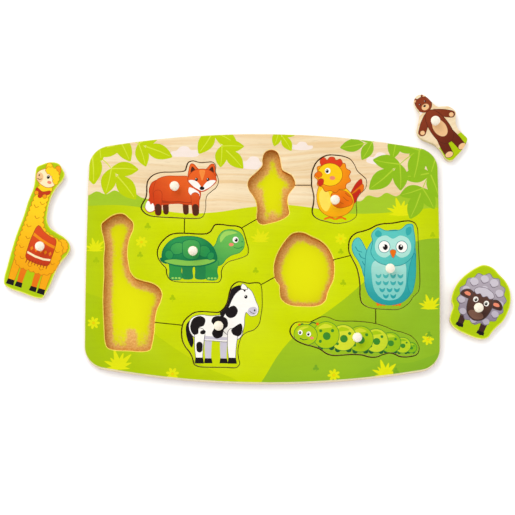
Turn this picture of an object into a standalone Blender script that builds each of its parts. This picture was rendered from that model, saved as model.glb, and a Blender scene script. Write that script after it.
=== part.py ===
"""Toddlers' peg puzzle: a bow-sided wooden board with nine sawn-out pieces,
each lifted by a turned wooden peg.

The board is two sheets glued together: a frame board with nine openings, and a
backing board that closes them from below, so each opening is a shallow recess.
Six pieces sit in their recesses, three lie loose on the table beside the board.

Metres, +Z up. Origin: the middle of the board's underside, which is also the
table top. +X runs along the board's long side, +Y away from the player.
"""
import math

import bmesh
import bpy
from mathutils import Vector

MM = 0.001

# ---------------------------------------------------------------- dimensions (mm)
BOARD_LENGTH = 300.0      # over the middle of the bowed short sides
BOARD_DEPTH = 216.0       # over the middle of the bowed long sides
LONG_SIDE_BOW = 778.0     # radius of the long sides
SHORT_SIDE_BOW = 4450.0   # radius of the short sides
CORNER_RADIUS = 19.0
BACKING_THICKNESS = 2.7
GLUE_GAP = 0.3            # between the sheets, and under a seated piece
SHEET_THICKNESS = 6.0     # frame board and pieces
SAW_CUT = 0.8             # width of the saw cut
SPANS = 3                 # straight steps between two control points

PEG_HEAD_RADIUS = 4.05
PEG_HEIGHT = 8.0          # above the piece
PEG_NECK_RADIUS = 2.6
PEG_FOOT_RADIUS = 3.2
PEG_SPIGOT_RADIUS = 1.9
PEG_SPIGOT_LENGTH = 4.0
PEG_HOLE_RADIUS = 2.3
PEG_HOLE_DEPTH = 4.4
PEG_SIDES = 16

FRAME_Z = BACKING_THICKNESS + GLUE_GAP
TOP_Z = FRAME_Z + SHEET_THICKNESS

# ---------------------------------------------------------------- the nine pieces
# line    control points of the saw line round the piece, in board coordinates
# wall    how far outside that line the recess wall is (the rest of the saw cut
#         is inside it)
# peg     where the peg stands, in board coordinates while the piece is seated
# lies    None for a seated piece, else x, y of the peg and the turn in degrees
# slid    how far a seated piece has slid from the middle of its recess
# colour  main colour of the print
PIECES = {
    "fox": dict(
        line=[(-66, 78), (-64.5, 82), (-60.5, 83.5), (-54, 82), (-48, 82.5), (-43.5, 82.5), (-41, 79.5),
              (-41, 74), (-39, 69), (-38.5, 64.5), (-40.5, 60), (-44.5, 56.5), (-48, 53), (-49, 49),
              (-49, 43), (-50, 37.5), (-52, 34), (-56, 33), (-66, 33), (-77, 33.5), (-88, 34),
              (-96, 35), (-101, 37.5), (-104, 42), (-102.5, 46.5), (-100.5, 50), (-99.5, 55), (-99.5, 61),
              (-98.5, 66), (-94.5, 70.5), (-88, 73), (-78, 73.5), (-70, 74), (-67, 75)],
        wall=0.4, peg=(-75.9, 60.0), lies=None, slid=(0.32, 0.00), colour=(0.85, 0.30, 0.06)),
    "tortoise": dict(
        line=[(-43, 24.5), (-41, 27.5), (-36, 28), (-29, 27), (-22, 26.5), (-18, 24.5), (-16, 20),
              (-14, 13), (-12.5, 7.5), (-13, 2), (-17, -0.5), (-23, -2.5), (-29, -4.5), (-33, -8),
              (-35, -13), (-35, -18.5), (-37, -22), (-41, -22.5), (-50, -22.5), (-62, -22.5), (-73, -22),
              (-78.5, -20), (-81, -16), (-82, -10.5), (-85.5, -6.5), (-88.5, -2), (-89.5, 3), (-88, 9),
              (-84, 14.5), (-79, 18.5), (-73, 20), (-64, 20), (-54, 19.5), (-47.5, 20), (-44.5, 22)],
        wall=0.4, peg=(-59.3, 3.8), lies=None, slid=(0.12, -0.25), colour=(0.20, 0.55, 0.20)),
    "pony": dict(
        line=[(-67.5, -60), (-66, -56), (-62.5, -52), (-57.5, -48.5), (-51, -47.5), (-43, -48), (-37, -48),
              (-33.5, -45.5), (-30.5, -41), (-29, -35.5), (-28, -30.5), (-26, -25.5), (-21.5, -22), (-17, -22),
              (-12, -23), (-6.5, -22.5), (-2.5, -23), (-1, -27), (-0.5, -35), (-0.5, -44), (-1.5, -51),
              (-3, -58), (-7.5, -63), (-13, -65), (-17, -68), (-19, -72.5), (-20.5, -80), (-20, -87),
              (-19, -92), (-21.5, -95), (-31, -95), (-43, -95), (-53, -94.5), (-57, -92.5), (-58.5, -87.5),
              (-61, -82.5), (-64.5, -78), (-67, -73), (-68, -67)],
        wall=0.4, peg=(-37.1, -60.6), lies=None, slid=(0.24, -0.10), colour=(0.90, 0.90, 0.88)),
    "hen": dict(
        line=[(41, 66), (41, 72), (42.5, 78), (45, 83), (50, 87.5), (55, 89.5), (62, 89.5), (68.5, 88.5),
              (74, 86), (77.5, 81.5), (80, 76), (84, 72), (87.5, 68.5), (88, 63.5), (86, 59), (82, 55),
              (79.5, 50.5), (79, 45.5), (79.5, 40), (79, 36), (74.5, 32), (68, 30), (61, 29.5), (54, 31),
              (47, 33), (42.5, 36.5), (41.5, 40.5), (42.5, 46), (43, 52), (42, 58), (41, 62.5)],
        wall=0.4, peg=(60.7, 49.1), lies=None, slid=(0.33, -0.18), colour=(0.92, 0.62, 0.05)),
    "owl": dict(
        line=[(72.5, 9), (73, 14), (75, 18), (79.5, 21.5), (85, 23), (90.5, 25), (96, 28), (102, 29.5),
              (109, 30), (114.5, 31), (120, 32), (125, 32), (129, 30), (131, 25.5), (131.5, 15), (132, 3),
              (132.5, -10), (132.5, -23), (131, -29.5), (127, -33.5), (124, -38), (119.5, -42), (114, -44.5),
              (104, -44.5), (95, -44), (88, -42.5), (83.5, -39), (82, -33), (82, -25), (81, -16), (79, -8),
              (75.5, -1), (73, 4.5)],
        wall=0.4, peg=(107.2, -10.2), lies=None, slid=(0.26, -0.23), colour=(0.25, 0.62, 0.60)),
    "grub": dict(
        line=[(23, -64), (24.5, -59.5), (28, -56.5), (34, -56), (40, -56), (45, -53.5), (50, -51.5), (55.5, -52),
              (60, -54), (65, -55), (75, -55), (85, -55.5), (95, -57), (103, -59.5), (110, -62.5), (118, -64.5),
              (125, -67.5), (129.5, -72.5), (131.5, -78), (129.5, -83), (123.5, -85), (115.5, -85), (111, -83),
              (106.5, -82), (101, -83.5), (95.5, -85.5), (89.5, -85.5), (84, -84), (76, -83.5), (68, -84),
              (60, -84.5), (54, -83), (48, -79), (42.5, -77), (35, -75), (28.5, -72), (24.5, -68)],
        wall=0.4, peg=(79.2, -70.0), lies=None, slid=(0.30, 0.20), colour=(0.65, 0.72, 0.05)),
    "llama": dict(
        line=[(-136.5, 27.5), (-133, 31), (-129, 34), (-124, 36), (-119, 36), (-114.5, 32.5), (-111, 28.5),
              (-111, 23), (-113.5, 16.5), (-115, 10), (-115.5, 2), (-114.5, -6), (-112.5, -14), (-108, -19.5),
              (-101, -22), (-93.5, -24), (-88, -27.5), (-85.5, -32.5), (-86.5, -39), (-89.5, -46), (-91, -55),
              (-91.5, -65), (-93, -75), (-94.5, -80), (-100, -81.5), (-112, -81), (-124, -80.5), (-129.5, -78.5),
              (-131.5, -73.5), (-132.5, -62), (-133.5, -48), (-134, -34), (-133.5, -18), (-134, -3),
              (-133.5, 9), (-135, 17), (-136.5, 23)],
        wall=0.3, peg=(-110.5, -38.9), lies=(-189.0, 7.3, -17.3), colour=(0.92, 0.68, 0.08)),
    "bear": dict(
        line=[(-0.5, 85), (1, 90.5), (4, 93), (8, 93.5), (11.5, 91.5), (13.5, 87), (14.5, 81.5), (16, 76),
              (20, 73.5), (24, 71), (26.5, 66), (26.5, 62), (23.5, 58), (21, 54), (20, 48.5), (21, 42.5),
              (21.5, 37.5), (17.5, 34), (10.5, 31), (4.5, 29.5), (0, 28.5), (-3.5, 30), (-5, 34), (-4.5, 41),
              (-5.5, 48), (-8.5, 53.5), (-11.5, 58), (-13, 63), (-11.5, 68), (-7, 72.5), (-3, 76.5), (-0.5, 80)],
        wall=0.3, peg=(6.2, 65.0), lies=(147.4, 120.2, 33.7), colour=(0.45, 0.20, 0.08)),
    "sheep": dict(
        line=[(29, 21), (24.5, 19.5), (20.5, 15.5), (17, 10.5), (14, 5.5), (11.5, -0.5), (10, -7), (10, -14),
              (11.5, -20), (14.5, -24), (15, -30), (16, -35.5), (20, -39.5), (26, -41.5), (34, -42), (42, -42),
              (48.5, -40.5), (52.5, -37), (54, -31.5), (56, -26), (59, -19.5), (60, -11), (59.5, -3.5), (57, 4),
              (53, 10), (47.5, 14.5), (41, 17.5), (35, 20.5)],
        wall=0.3, peg=(35.3, -17.5), lies=(181.9, -43.1, -22.3), colour=(0.60, 0.56, 0.58)),
}

# Straight saw cuts through the frame board, from one recess to the next, made
# when the blade runs on from piece to piece.
SAW_LINKS = [
    ((-66.8, 34.2), (-66.8, 19.2)),
    ((-18.8, 24.5), (-3.7, 33.7)),
    ((25.6, 62.6), (42.0, 62.8)),
    ((-92.0, -57.0), (-66.8, -59.5)),
    ((-2.0, -24.6), (11.4, -16.8)),
    ((58.8, -2.5), (75.0, 1.8)),
    ((95.3, -43.0), (95.3, -58.0)),
]


# ---------------------------------------------------------------- curves in the plane
def between(a, b, ta, tb, u):
    return a * ((tb - u) / (tb - ta)) + b * ((u - ta) / (tb - ta))


def smooth_loop(points, spans):
    """Closed centripetal Catmull-Rom curve through the points, counter-clockwise."""
    pts = [Vector(p) for p in points]
    count = len(pts)
    out = []
    for i in range(count):
        p = [pts[(i + k - 1) % count] for k in range(4)]
        t = [0.0]
        for a, b in zip(p, p[1:]):
            t.append(t[-1] + math.sqrt((b - a).length))
        for step in range(spans):
            u = t[1] + (t[2] - t[1]) * step / spans
            first = [between(p[k], p[k + 1], t[k], t[k + 1], u) for k in range(3)]
            second = [between(first[k], first[k + 1], t[k], t[k + 2], u) for k in range(2)]
            out.append(between(second[0], second[1], t[1], t[2], u))
    if area(out) < 0:
        out.reverse()
    return out


def area(loop):
    return 0.5 * sum(a.x * b.y - b.x * a.y for a, b in zip(loop, loop[1:] + loop[:1]))


def offset(loop, distance):
    """Moves a counter-clockwise loop outwards along its corner normals."""
    out = []
    for i, here in enumerate(loop):
        before = (here - loop[i - 1]).normalized()
        after = (loop[(i + 1) % len(loop)] - here).normalized()
        normal = Vector((before.y + after.y, -before.x - after.x)).normalized()
        stretch = max(0.5, normal.dot(Vector((after.y, -after.x))))
        out.append(here + normal * (distance / stretch))
    return out


def board_outline():
    """Four bowed sides joined by corner arcs that are tangent to both sides."""
    half_x, half_y = BOARD_LENGTH / 2, BOARD_DEPTH / 2
    side = Vector((half_x - SHORT_SIDE_BOW, 0.0))
    top = Vector((0.0, half_y - LONG_SIDE_BOW))
    reach_side = SHORT_SIDE_BOW - CORNER_RADIUS
    reach_top = LONG_SIDE_BOW - CORNER_RADIUS
    span = top - side
    along = (reach_side ** 2 - reach_top ** 2 + span.length_squared) / (2 * span.length)
    across = math.sqrt(reach_side ** 2 - along ** 2)
    unit = span.normalized()
    options = [side + unit * along + Vector((-unit.y, unit.x)) * (sign * across) for sign in (1, -1)]
    corner = max(options, key=lambda v: v.x + v.y)
    side_angle = math.atan2((corner - side).y, (corner - side).x)
    top_angle = math.atan2((corner - top).y, (corner - top).x)

    def arc(centre, radius, start, end, steps):
        return [centre + radius * Vector((math.cos(start + (end - start) * k / steps),
                                          math.sin(start + (end - start) * k / steps)))
                for k in range(steps)]

    quarter = (arc(side, SHORT_SIDE_BOW, 0.0, side_angle, 4)
               + arc(corner, CORNER_RADIUS, side_angle, top_angle, 10)
               + arc(top, LONG_SIDE_BOW, top_angle, math.pi / 2, 9))
    crown = [Vector((0.0, half_y))]
    upper = quarter + crown + [Vector((-p.x, p.y)) for p in reversed(quarter)]
    return upper + [Vector((p.x, -p.y)) for p in reversed(upper[1:-1])]


# ---------------------------------------------------------------- solids
def material(name, colour, roughness=0.5):
    mat = bpy.data.materials.new(name)
    mat.use_nodes = True
    shader = mat.node_tree.nodes["Principled BSDF"]
    shader.inputs["Base Color"].default_value = (*colour, 1.0)
    shader.inputs["Roughness"].default_value = roughness
    shader.inputs["Metallic"].default_value = 0.0
    return mat


def add_object(name, bm, mat=None):
    bmesh.ops.recalc_face_normals(bm, faces=bm.faces[:])
    mesh = bpy.data.meshes.new(name)
    bm.to_mesh(mesh)
    bm.free()
    obj = bpy.data.objects.new(name, mesh)
    bpy.context.scene.collection.objects.link(obj)
    if mat is not None:
        mesh.materials.append(mat)
    return obj


def prism(name, loop, low, high, mat=None):
    """A flat sheet: the loop extruded from z = low to z = high, all in mm."""
    bm = bmesh.new()
    face = bm.faces.new([bm.verts.new((p.x * MM, p.y * MM, low * MM)) for p in loop])
    raised = bmesh.ops.extrude_face_region(bm, geom=[face])["geom"]
    bmesh.ops.translate(bm, verts=[g for g in raised if isinstance(g, bmesh.types.BMVert)],
                        vec=(0.0, 0.0, (high - low) * MM))
    return add_object(name, bm, mat)


def turned(name, profile, sides, mat):
    """A turned piece: (radius, height) pairs in mm, first and last on the axis."""
    bm = bmesh.new()
    rings = []
    for radius, height in profile:
        if radius == 0.0:
            rings.append([bm.verts.new((0.0, 0.0, height * MM))])
        else:
            rings.append([bm.verts.new((radius * MM * math.cos(2 * math.pi * k / sides),
                                        radius * MM * math.sin(2 * math.pi * k / sides), height * MM))
                          for k in range(sides)])
    for low, high in zip(rings, rings[1:]):
        for k in range(sides):
            ring = [low[k % len(low)], low[(k + 1) % len(low)], high[(k + 1) % len(high)], high[k % len(high)]]
            bm.faces.new(list(dict.fromkeys(ring)))
    obj = add_object(name, bm, mat)
    obj.data.shade_smooth()
    obj.data.set_sharp_from_angle(angle=math.radians(40))
    return obj


def hidden_cutter(obj):
    obj.hide_render = True
    obj.display_type = "WIRE"
    return obj


def cut(obj, cutter):
    mod = obj.modifiers.new("cut_" + cutter.name, "BOOLEAN")
    mod.operation = "DIFFERENCE"
    mod.solver = "EXACT"
    mod.object = cutter


def peg_profile():
    """Spigot, foot, hollowed neck and domed head, from the bottom up."""
    foot_z = GLUE_GAP
    head_z = 4.9                      # height of the widest ring
    waist_z = 1.9
    out = [(0.0, -PEG_SPIGOT_LENGTH), (PEG_SPIGOT_RADIUS, -PEG_SPIGOT_LENGTH),
           (PEG_SPIGOT_RADIUS, foot_z), (PEG_FOOT_RADIUS, foot_z)]
    out.append((PEG_NECK_RADIUS, waist_z))
    for k in (1, 2, 3):               # the neck flares out under the head
        angle = math.pi / 2 * k / 3
        out.append((PEG_HEAD_RADIUS - (PEG_HEAD_RADIUS - PEG_NECK_RADIUS) * math.cos(angle),
                    waist_z + (head_z - waist_z) * (0.45 * k / 3 + 0.55 * math.sin(angle))))
    for k in (1, 2, 3):               # the dome
        angle = math.pi / 2 * k / 4
        out.append((PEG_HEAD_RADIUS * math.cos(angle) ** 0.8,
                    head_z + (PEG_HEIGHT - head_z) * math.sin(angle)))
    out.append((0.0, PEG_HEIGHT))
    return out


def remove_all():
    for obj in list(bpy.data.objects):
        bpy.data.objects.remove(obj, do_unlink=True)


def build():
    remove_all()
    outline = board_outline()
    prism("backing_board", outline, 0.0, BACKING_THICKNESS, material("raw_board", (0.55, 0.32, 0.16), 0.8))
    frame = prism("frame_board", outline, FRAME_Z, TOP_Z, material("printed_lime", (0.60, 0.68, 0.02), 0.45))
    peg_wood = material("pale_wood", (0.93, 0.86, 0.76), 0.45)

    for name, spec in PIECES.items():
        line = smooth_loop(spec["line"], SPANS)
        wall = offset(line, spec["wall"])
        cutter = hidden_cutter(prism(name + "_recess_cutter", wall, FRAME_Z - 1.0, TOP_Z + 1.0))
        cut(frame, cutter)

        # The empty stands on the lift axis: the peg's axis, at the piece's underside.
        if spec["lies"] is None:
            x, y, turn = spec["peg"][0] + spec["slid"][0], spec["peg"][1] + spec["slid"][1], 0.0
            low = FRAME_Z
        else:
            x, y, turn = spec["lies"]
            low = 0.0
        lift = bpy.data.objects.new(name + "_lift", None)
        bpy.context.scene.collection.objects.link(lift)
        lift.location = (x * MM, y * MM, low * MM)
        lift.rotation_euler = (0.0, 0.0, math.radians(turn))

        axis = Vector(spec["peg"])
        rim = [p - axis for p in offset(line, spec["wall"] - SAW_CUT)]
        piece = prism(name + "_piece", rim, 0.0, SHEET_THICKNESS, material(name + "_print", spec["colour"], 0.45))
        piece.parent = lift
        circle = [PEG_HOLE_RADIUS * Vector((math.cos(2 * math.pi * k / PEG_SIDES),
                                            math.sin(2 * math.pi * k / PEG_SIDES))) for k in range(PEG_SIDES)]
        hole = hidden_cutter(prism(name + "_hole_cutter", circle, SHEET_THICKNESS - PEG_HOLE_DEPTH,
                                   SHEET_THICKNESS + 1.0))
        hole.parent = lift
        cut(piece, hole)

        peg = turned(name + "_peg", peg_profile(), PEG_SIDES, peg_wood)
        peg.parent = lift
        peg.location = (0.0, 0.0, SHEET_THICKNESS * MM)

    for number, (start, end) in enumerate(SAW_LINKS, 1):
        a, b = Vector(start), Vector(end)
        along = (b - a).normalized()
        across = Vector((-along.y, along.x)) * (SAW_CUT / 2)
        slot = [a - across, b - across, b + across, a + across]
        cut(frame, hidden_cutter(prism("saw_link_cutter_%d" % number, slot, FRAME_Z - 1.0, TOP_Z + 1.0)))

    bpy.context.view_layer.update()


build()
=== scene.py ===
"""Looks for the toddlers' peg puzzle: printed plywood, raw board and turned pegs.

Shapes are drawn in millimetres in the board's plane and built in metres in the
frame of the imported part. The print runs across the board and its pieces, as on a
sheet that is printed first and sawn afterwards, so a loose piece carries its share.
"""
import math

import bpy
import numpy as np
from mathutils import Matrix, Vector
from mathutils.geometry import delaunay_2d_cdt


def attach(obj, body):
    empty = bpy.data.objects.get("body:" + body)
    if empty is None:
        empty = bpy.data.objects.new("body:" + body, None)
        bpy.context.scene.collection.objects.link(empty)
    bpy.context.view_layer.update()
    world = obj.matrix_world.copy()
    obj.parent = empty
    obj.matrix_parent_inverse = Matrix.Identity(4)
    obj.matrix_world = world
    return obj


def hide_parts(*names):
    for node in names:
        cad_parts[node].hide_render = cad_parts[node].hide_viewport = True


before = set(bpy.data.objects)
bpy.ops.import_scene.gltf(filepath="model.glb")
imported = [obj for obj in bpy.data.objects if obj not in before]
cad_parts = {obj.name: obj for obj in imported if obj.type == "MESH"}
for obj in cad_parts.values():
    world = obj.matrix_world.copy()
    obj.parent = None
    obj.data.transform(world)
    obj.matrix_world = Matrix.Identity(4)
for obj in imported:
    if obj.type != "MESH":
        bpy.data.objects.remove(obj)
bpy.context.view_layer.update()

MM = 0.001

# ---------------------------------------------------------------- the CAD part's sizes (mm)
BOARD_LENGTH, BOARD_DEPTH = 300.0, 216.0
LONG_SIDE_BOW, SHORT_SIDE_BOW, CORNER_RADIUS = 778.0, 4450.0, 19.0
BACKING_TOP = 2.9         # the glue line above it is 0.02 thick here
FRAME_LOW, FRAME_TOP = 2.92, 9.0
SEATED_Z = 3.0
SHEET = 6.0
SAW_CUT = 0.8
SPANS = 8

# saw line, recess wall outside it, peg, where a loose piece lies and how far a seated one has slid, as in the part
PIECES = {
    "fox": dict(
        line=[(-66, 78), (-64.5, 82), (-60.5, 83.5), (-54, 82), (-48, 82.5), (-43.5, 82.5), (-41, 79.5),
              (-41, 74), (-39, 69), (-38.5, 64.5), (-40.5, 60), (-44.5, 56.5), (-48, 53), (-49, 49),
              (-49, 43), (-50, 37.5), (-52, 34), (-56, 33), (-66, 33), (-77, 33.5), (-88, 34),
              (-96, 35), (-101, 37.5), (-104, 42), (-102.5, 46.5), (-100.5, 50), (-99.5, 55), (-99.5, 61),
              (-98.5, 66), (-94.5, 70.5), (-88, 73), (-78, 73.5), (-70, 74), (-67, 75)],
        wall=0.4, peg=(-75.9, 60.0), lies=None, slid=(0.32, 0.00)),
    "tortoise": dict(
        line=[(-43, 24.5), (-41, 27.5), (-36, 28), (-29, 27), (-22, 26.5), (-18, 24.5), (-16, 20),
              (-14, 13), (-12.5, 7.5), (-13, 2), (-17, -0.5), (-23, -2.5), (-29, -4.5), (-33, -8),
              (-35, -13), (-35, -18.5), (-37, -22), (-41, -22.5), (-50, -22.5), (-62, -22.5), (-73, -22),
              (-78.5, -20), (-81, -16), (-82, -10.5), (-85.5, -6.5), (-88.5, -2), (-89.5, 3), (-88, 9),
              (-84, 14.5), (-79, 18.5), (-73, 20), (-64, 20), (-54, 19.5), (-47.5, 20), (-44.5, 22)],
        wall=0.4, peg=(-59.3, 3.8), lies=None, slid=(0.12, -0.25)),
    "pony": dict(
        line=[(-67.5, -60), (-66, -56), (-62.5, -52), (-57.5, -48.5), (-51, -47.5), (-43, -48), (-37, -48),
              (-33.5, -45.5), (-30.5, -41), (-29, -35.5), (-28, -30.5), (-26, -25.5), (-21.5, -22), (-17, -22),
              (-12, -23), (-6.5, -22.5), (-2.5, -23), (-1, -27), (-0.5, -35), (-0.5, -44), (-1.5, -51),
              (-3, -58), (-7.5, -63), (-13, -65), (-17, -68), (-19, -72.5), (-20.5, -80), (-20, -87),
              (-19, -92), (-21.5, -95), (-31, -95), (-43, -95), (-53, -94.5), (-57, -92.5), (-58.5, -87.5),
              (-61, -82.5), (-64.5, -78), (-67, -73), (-68, -67)],
        wall=0.4, peg=(-37.1, -60.6), lies=None, slid=(0.24, -0.10)),
    "hen": dict(
        line=[(41, 66), (41, 72), (42.5, 78), (45, 83), (50, 87.5), (55, 89.5), (62, 89.5), (68.5, 88.5),
              (74, 86), (77.5, 81.5), (80, 76), (84, 72), (87.5, 68.5), (88, 63.5), (86, 59), (82, 55),
              (79.5, 50.5), (79, 45.5), (79.5, 40), (79, 36), (74.5, 32), (68, 30), (61, 29.5), (54, 31),
              (47, 33), (42.5, 36.5), (41.5, 40.5), (42.5, 46), (43, 52), (42, 58), (41, 62.5)],
        wall=0.4, peg=(60.7, 49.1), lies=None, slid=(0.33, -0.18)),
    "owl": dict(
        line=[(72.5, 9), (73, 14), (75, 18), (79.5, 21.5), (85, 23), (90.5, 25), (96, 28), (102, 29.5),
              (109, 30), (114.5, 31), (120, 32), (125, 32), (129, 30), (131, 25.5), (131.5, 15), (132, 3),
              (132.5, -10), (132.5, -23), (131, -29.5), (127, -33.5), (124, -38), (119.5, -42), (114, -44.5),
              (104, -44.5), (95, -44), (88, -42.5), (83.5, -39), (82, -33), (82, -25), (81, -16), (79, -8),
              (75.5, -1), (73, 4.5)],
        wall=0.4, peg=(107.2, -10.2), lies=None, slid=(0.26, -0.23)),
    "grub": dict(
        line=[(23, -64), (24.5, -59.5), (28, -56.5), (34, -56), (40, -56), (45, -53.5), (50, -51.5), (55.5, -52),
              (60, -54), (65, -55), (75, -55), (85, -55.5), (95, -57), (103, -59.5), (110, -62.5), (118, -64.5),
              (125, -67.5), (129.5, -72.5), (131.5, -78), (129.5, -83), (123.5, -85), (115.5, -85), (111, -83),
              (106.5, -82), (101, -83.5), (95.5, -85.5), (89.5, -85.5), (84, -84), (76, -83.5), (68, -84),
              (60, -84.5), (54, -83), (48, -79), (42.5, -77), (35, -75), (28.5, -72), (24.5, -68)],
        wall=0.4, peg=(79.2, -70.0), lies=None, slid=(0.30, 0.20)),
    "llama": dict(
        line=[(-136.5, 27.5), (-133, 31), (-129, 34), (-124, 36), (-119, 36), (-114.5, 32.5), (-111, 28.5),
              (-111, 23), (-113.5, 16.5), (-115, 10), (-115.5, 2), (-114.5, -6), (-112.5, -14), (-108, -19.5),
              (-101, -22), (-93.5, -24), (-88, -27.5), (-85.5, -32.5), (-86.5, -39), (-89.5, -46), (-91, -55),
              (-91.5, -65), (-93, -75), (-94.5, -80), (-100, -81.5), (-112, -81), (-124, -80.5), (-129.5, -78.5),
              (-131.5, -73.5), (-132.5, -62), (-133.5, -48), (-134, -34), (-133.5, -18), (-134, -3),
              (-133.5, 9), (-135, 17), (-136.5, 23)],
        wall=0.3, peg=(-110.5, -38.9), lies=(-189.0, 7.3, -17.3)),
    "bear": dict(
        line=[(-0.5, 85), (1, 90.5), (4, 93), (8, 93.5), (11.5, 91.5), (13.5, 87), (14.5, 81.5), (16, 76),
              (20, 73.5), (24, 71), (26.5, 66), (26.5, 62), (23.5, 58), (21, 54), (20, 48.5), (21, 42.5),
              (21.5, 37.5), (17.5, 34), (10.5, 31), (4.5, 29.5), (0, 28.5), (-3.5, 30), (-5, 34), (-4.5, 41),
              (-5.5, 48), (-8.5, 53.5), (-11.5, 58), (-13, 63), (-11.5, 68), (-7, 72.5), (-3, 76.5), (-0.5, 80)],
        wall=0.3, peg=(6.2, 65.0), lies=(147.4, 120.2, 33.7)),
    "sheep": dict(
        line=[(29, 21), (24.5, 19.5), (20.5, 15.5), (17, 10.5), (14, 5.5), (11.5, -0.5), (10, -7), (10, -14),
              (11.5, -20), (14.5, -24), (15, -30), (16, -35.5), (20, -39.5), (26, -41.5), (34, -42), (42, -42),
              (48.5, -40.5), (52.5, -37), (54, -31.5), (56, -26), (59, -19.5), (60, -11), (59.5, -3.5), (57, 4),
              (53, 10), (47.5, 14.5), (41, 17.5), (35, 20.5)],
        wall=0.3, peg=(35.3, -17.5), lies=(181.9, -43.1, -22.3)),
}

# Straight saw cuts through the frame board, from one recess to the next, made
# when the blade runs on from piece to piece.
SAW_LINKS = [
    ((-66.8, 34.2), (-66.8, 19.2)),
    ((-18.8, 24.5), (-3.7, 33.7)),
    ((25.6, 62.6), (42.0, 62.8)),
    ((-92.0, -57.0), (-66.8, -59.5)),
    ((-2.0, -24.6), (11.4, -16.8)),
    ((58.8, -2.5), (75.0, 1.8)),
    ((95.3, -43.0), (95.3, -58.0)),
]


# ---------------------------------------------------------------- curves in the plane (mm)
def spline(points, steps, closed=True):
    """Centripetal Catmull-Rom curve through the points."""
    P = np.asarray(points, float)
    n = len(P)
    out = []
    last = n if closed else n - 1
    for i in range(last):
        if closed:
            q = [P[(i + k - 1) % n] for k in range(4)]
        else:
            q = [P[max(0, min(n - 1, i + k - 1))] for k in range(4)]
            if i == 0:
                q[0] = 2 * q[1] - q[2]
            if i == n - 2:
                q[3] = 2 * q[2] - q[1]
        t = [0.0]
        for a, b in zip(q, q[1:]):
            t.append(t[-1] + max(np.hypot(*(b - a)), 1e-6) ** 0.5)
        for s in range(steps):
            u = t[1] + (t[2] - t[1]) * s / steps
            mix = lambda a, b, ta, tb: a * ((tb - u) / (tb - ta)) + b * ((u - ta) / (tb - ta))
            first = [mix(q[k], q[k + 1], t[k], t[k + 1]) for k in range(3)]
            second = [mix(first[k], first[k + 1], t[k], t[k + 2]) for k in range(2)]
            out.append(mix(second[0], second[1], t[1], t[2]))
    if not closed:
        out.append(P[-1])
    return np.array(out)


def area(loop):
    x, y = loop[:, 0], loop[:, 1]
    return 0.5 * float(np.sum(x * np.roll(y, -1) - np.roll(x, -1) * y))


def ccw(loop):
    return loop if area(loop) > 0 else loop[::-1]


def offset(loop, distance):
    """Moves a counter-clockwise loop outwards along its corner normals."""
    d = np.roll(loop, -1, 0) - loop
    d /= np.maximum(np.hypot(d[:, 0], d[:, 1]), 1e-9)[:, None]
    n = np.stack([d[:, 1], -d[:, 0]], 1)
    m = n + np.roll(n, 1, 0)
    m /= np.maximum(np.hypot(m[:, 0], m[:, 1]), 1e-9)[:, None]
    stretch = np.maximum(0.5, np.sum(m * n, 1))
    return loop + m * (distance / stretch)[:, None]


# ---------------------------------------------------------------- drawing
class Print:
    """A painter's list of (colour, loop); later shapes lie over earlier ones."""

    def __init__(self):
        self.shapes = []

    def add(self, colour, loop):
        self.shapes.append((colour, ccw(np.asarray(loop, float))))

    def blob(self, colour, points, line=None, width=0.45, steps=5):
        loop = ccw(spline(points, steps))
        if line:
            self.add(line, offset(loop, width))
        self.add(colour, loop)

    def patch(self, colour, points):
        self.add(colour, points)

    def oval(self, colour, x, y, rx, ry=None, turn=0.0, line=None, width=0.45, sides=None):
        ry = rx if ry is None else ry
        sides = sides or max(12, int(6 * math.sqrt(rx + ry)) * 2)
        a = np.arange(sides) * 2 * math.pi / sides
        c, s = math.cos(math.radians(turn)), math.sin(math.radians(turn))
        u, v = rx * np.cos(a), ry * np.sin(a)
        loop = np.stack([x + u * c - v * s, y + u * s + v * c], 1)
        if line:
            self.add(line, offset(loop, width))
        self.add(colour, loop)

    def stroke(self, colour, points, width, end=None, steps=5, line=None, rim=0.45):
        """A brush stroke with round ends; end is its width at the last point."""
        if line:
            self.stroke(line, points, width + 2 * rim, None if end is None else end + 2 * rim, steps)
        path = spline(points, steps, closed=False)
        end = width if end is None else end
        d = np.gradient(path, axis=0)
        d /= np.maximum(np.hypot(d[:, 0], d[:, 1]), 1e-9)[:, None]
        n = np.stack([-d[:, 1], d[:, 0]], 1)
        half = np.linspace(width, end, len(path))[:, None] / 2
        cap = lambda c, direction, r: [c + r * (direction * math.cos(a) + np.array([-direction[1], direction[0]]) * math.sin(a))
                                       for a in np.linspace(-math.pi / 2, math.pi / 2, 7)[1:-1]]
        loop = list(path - n * half) + cap(path[-1], d[-1], half[-1, 0]) + list((path + n * half)[::-1]) \
            + cap(path[0], -d[0], half[0, 0])
        self.add(colour, np.array(loop))

    def fluffy(self, colour, points, bump, line=None, width=0.45):
        """A closed shape with a woolly, scalloped outline."""
        loop = ccw(spline(points, 8))
        reach = np.concatenate([[0.0], np.cumsum(np.hypot(*(np.roll(loop, -1, 0) - loop).T))])
        count = max(5, int(round(reach[-1] / bump)))
        at = np.arange(count) * reach[-1] / count
        closed = np.vstack([loop, loop[:1]])
        knots = np.stack([np.interp(at, reach, closed[:, k]) for k in (0, 1)], 1)
        out = []
        for a, b in zip(knots, np.roll(knots, -1, 0)):
            along = b - a
            away = np.array([along[1], -along[0]])
            out += [a + u * along + h * away for u, h in ((0.0, 0.0), (0.16, 0.17), (0.38, 0.29), (0.62, 0.29), (0.84, 0.17))]
        if line:
            self.add(line, offset(np.array(out), width))
        self.add(colour, np.array(out))

    def mirror(self, axis, since):
        """Copies the shapes added since then to the other side of x = axis."""
        for colour, loop in list(self.shapes[since:]):
            other = loop.copy()
            other[:, 0] = 2 * axis - other[:, 0]
            self.add(colour, other)


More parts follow.
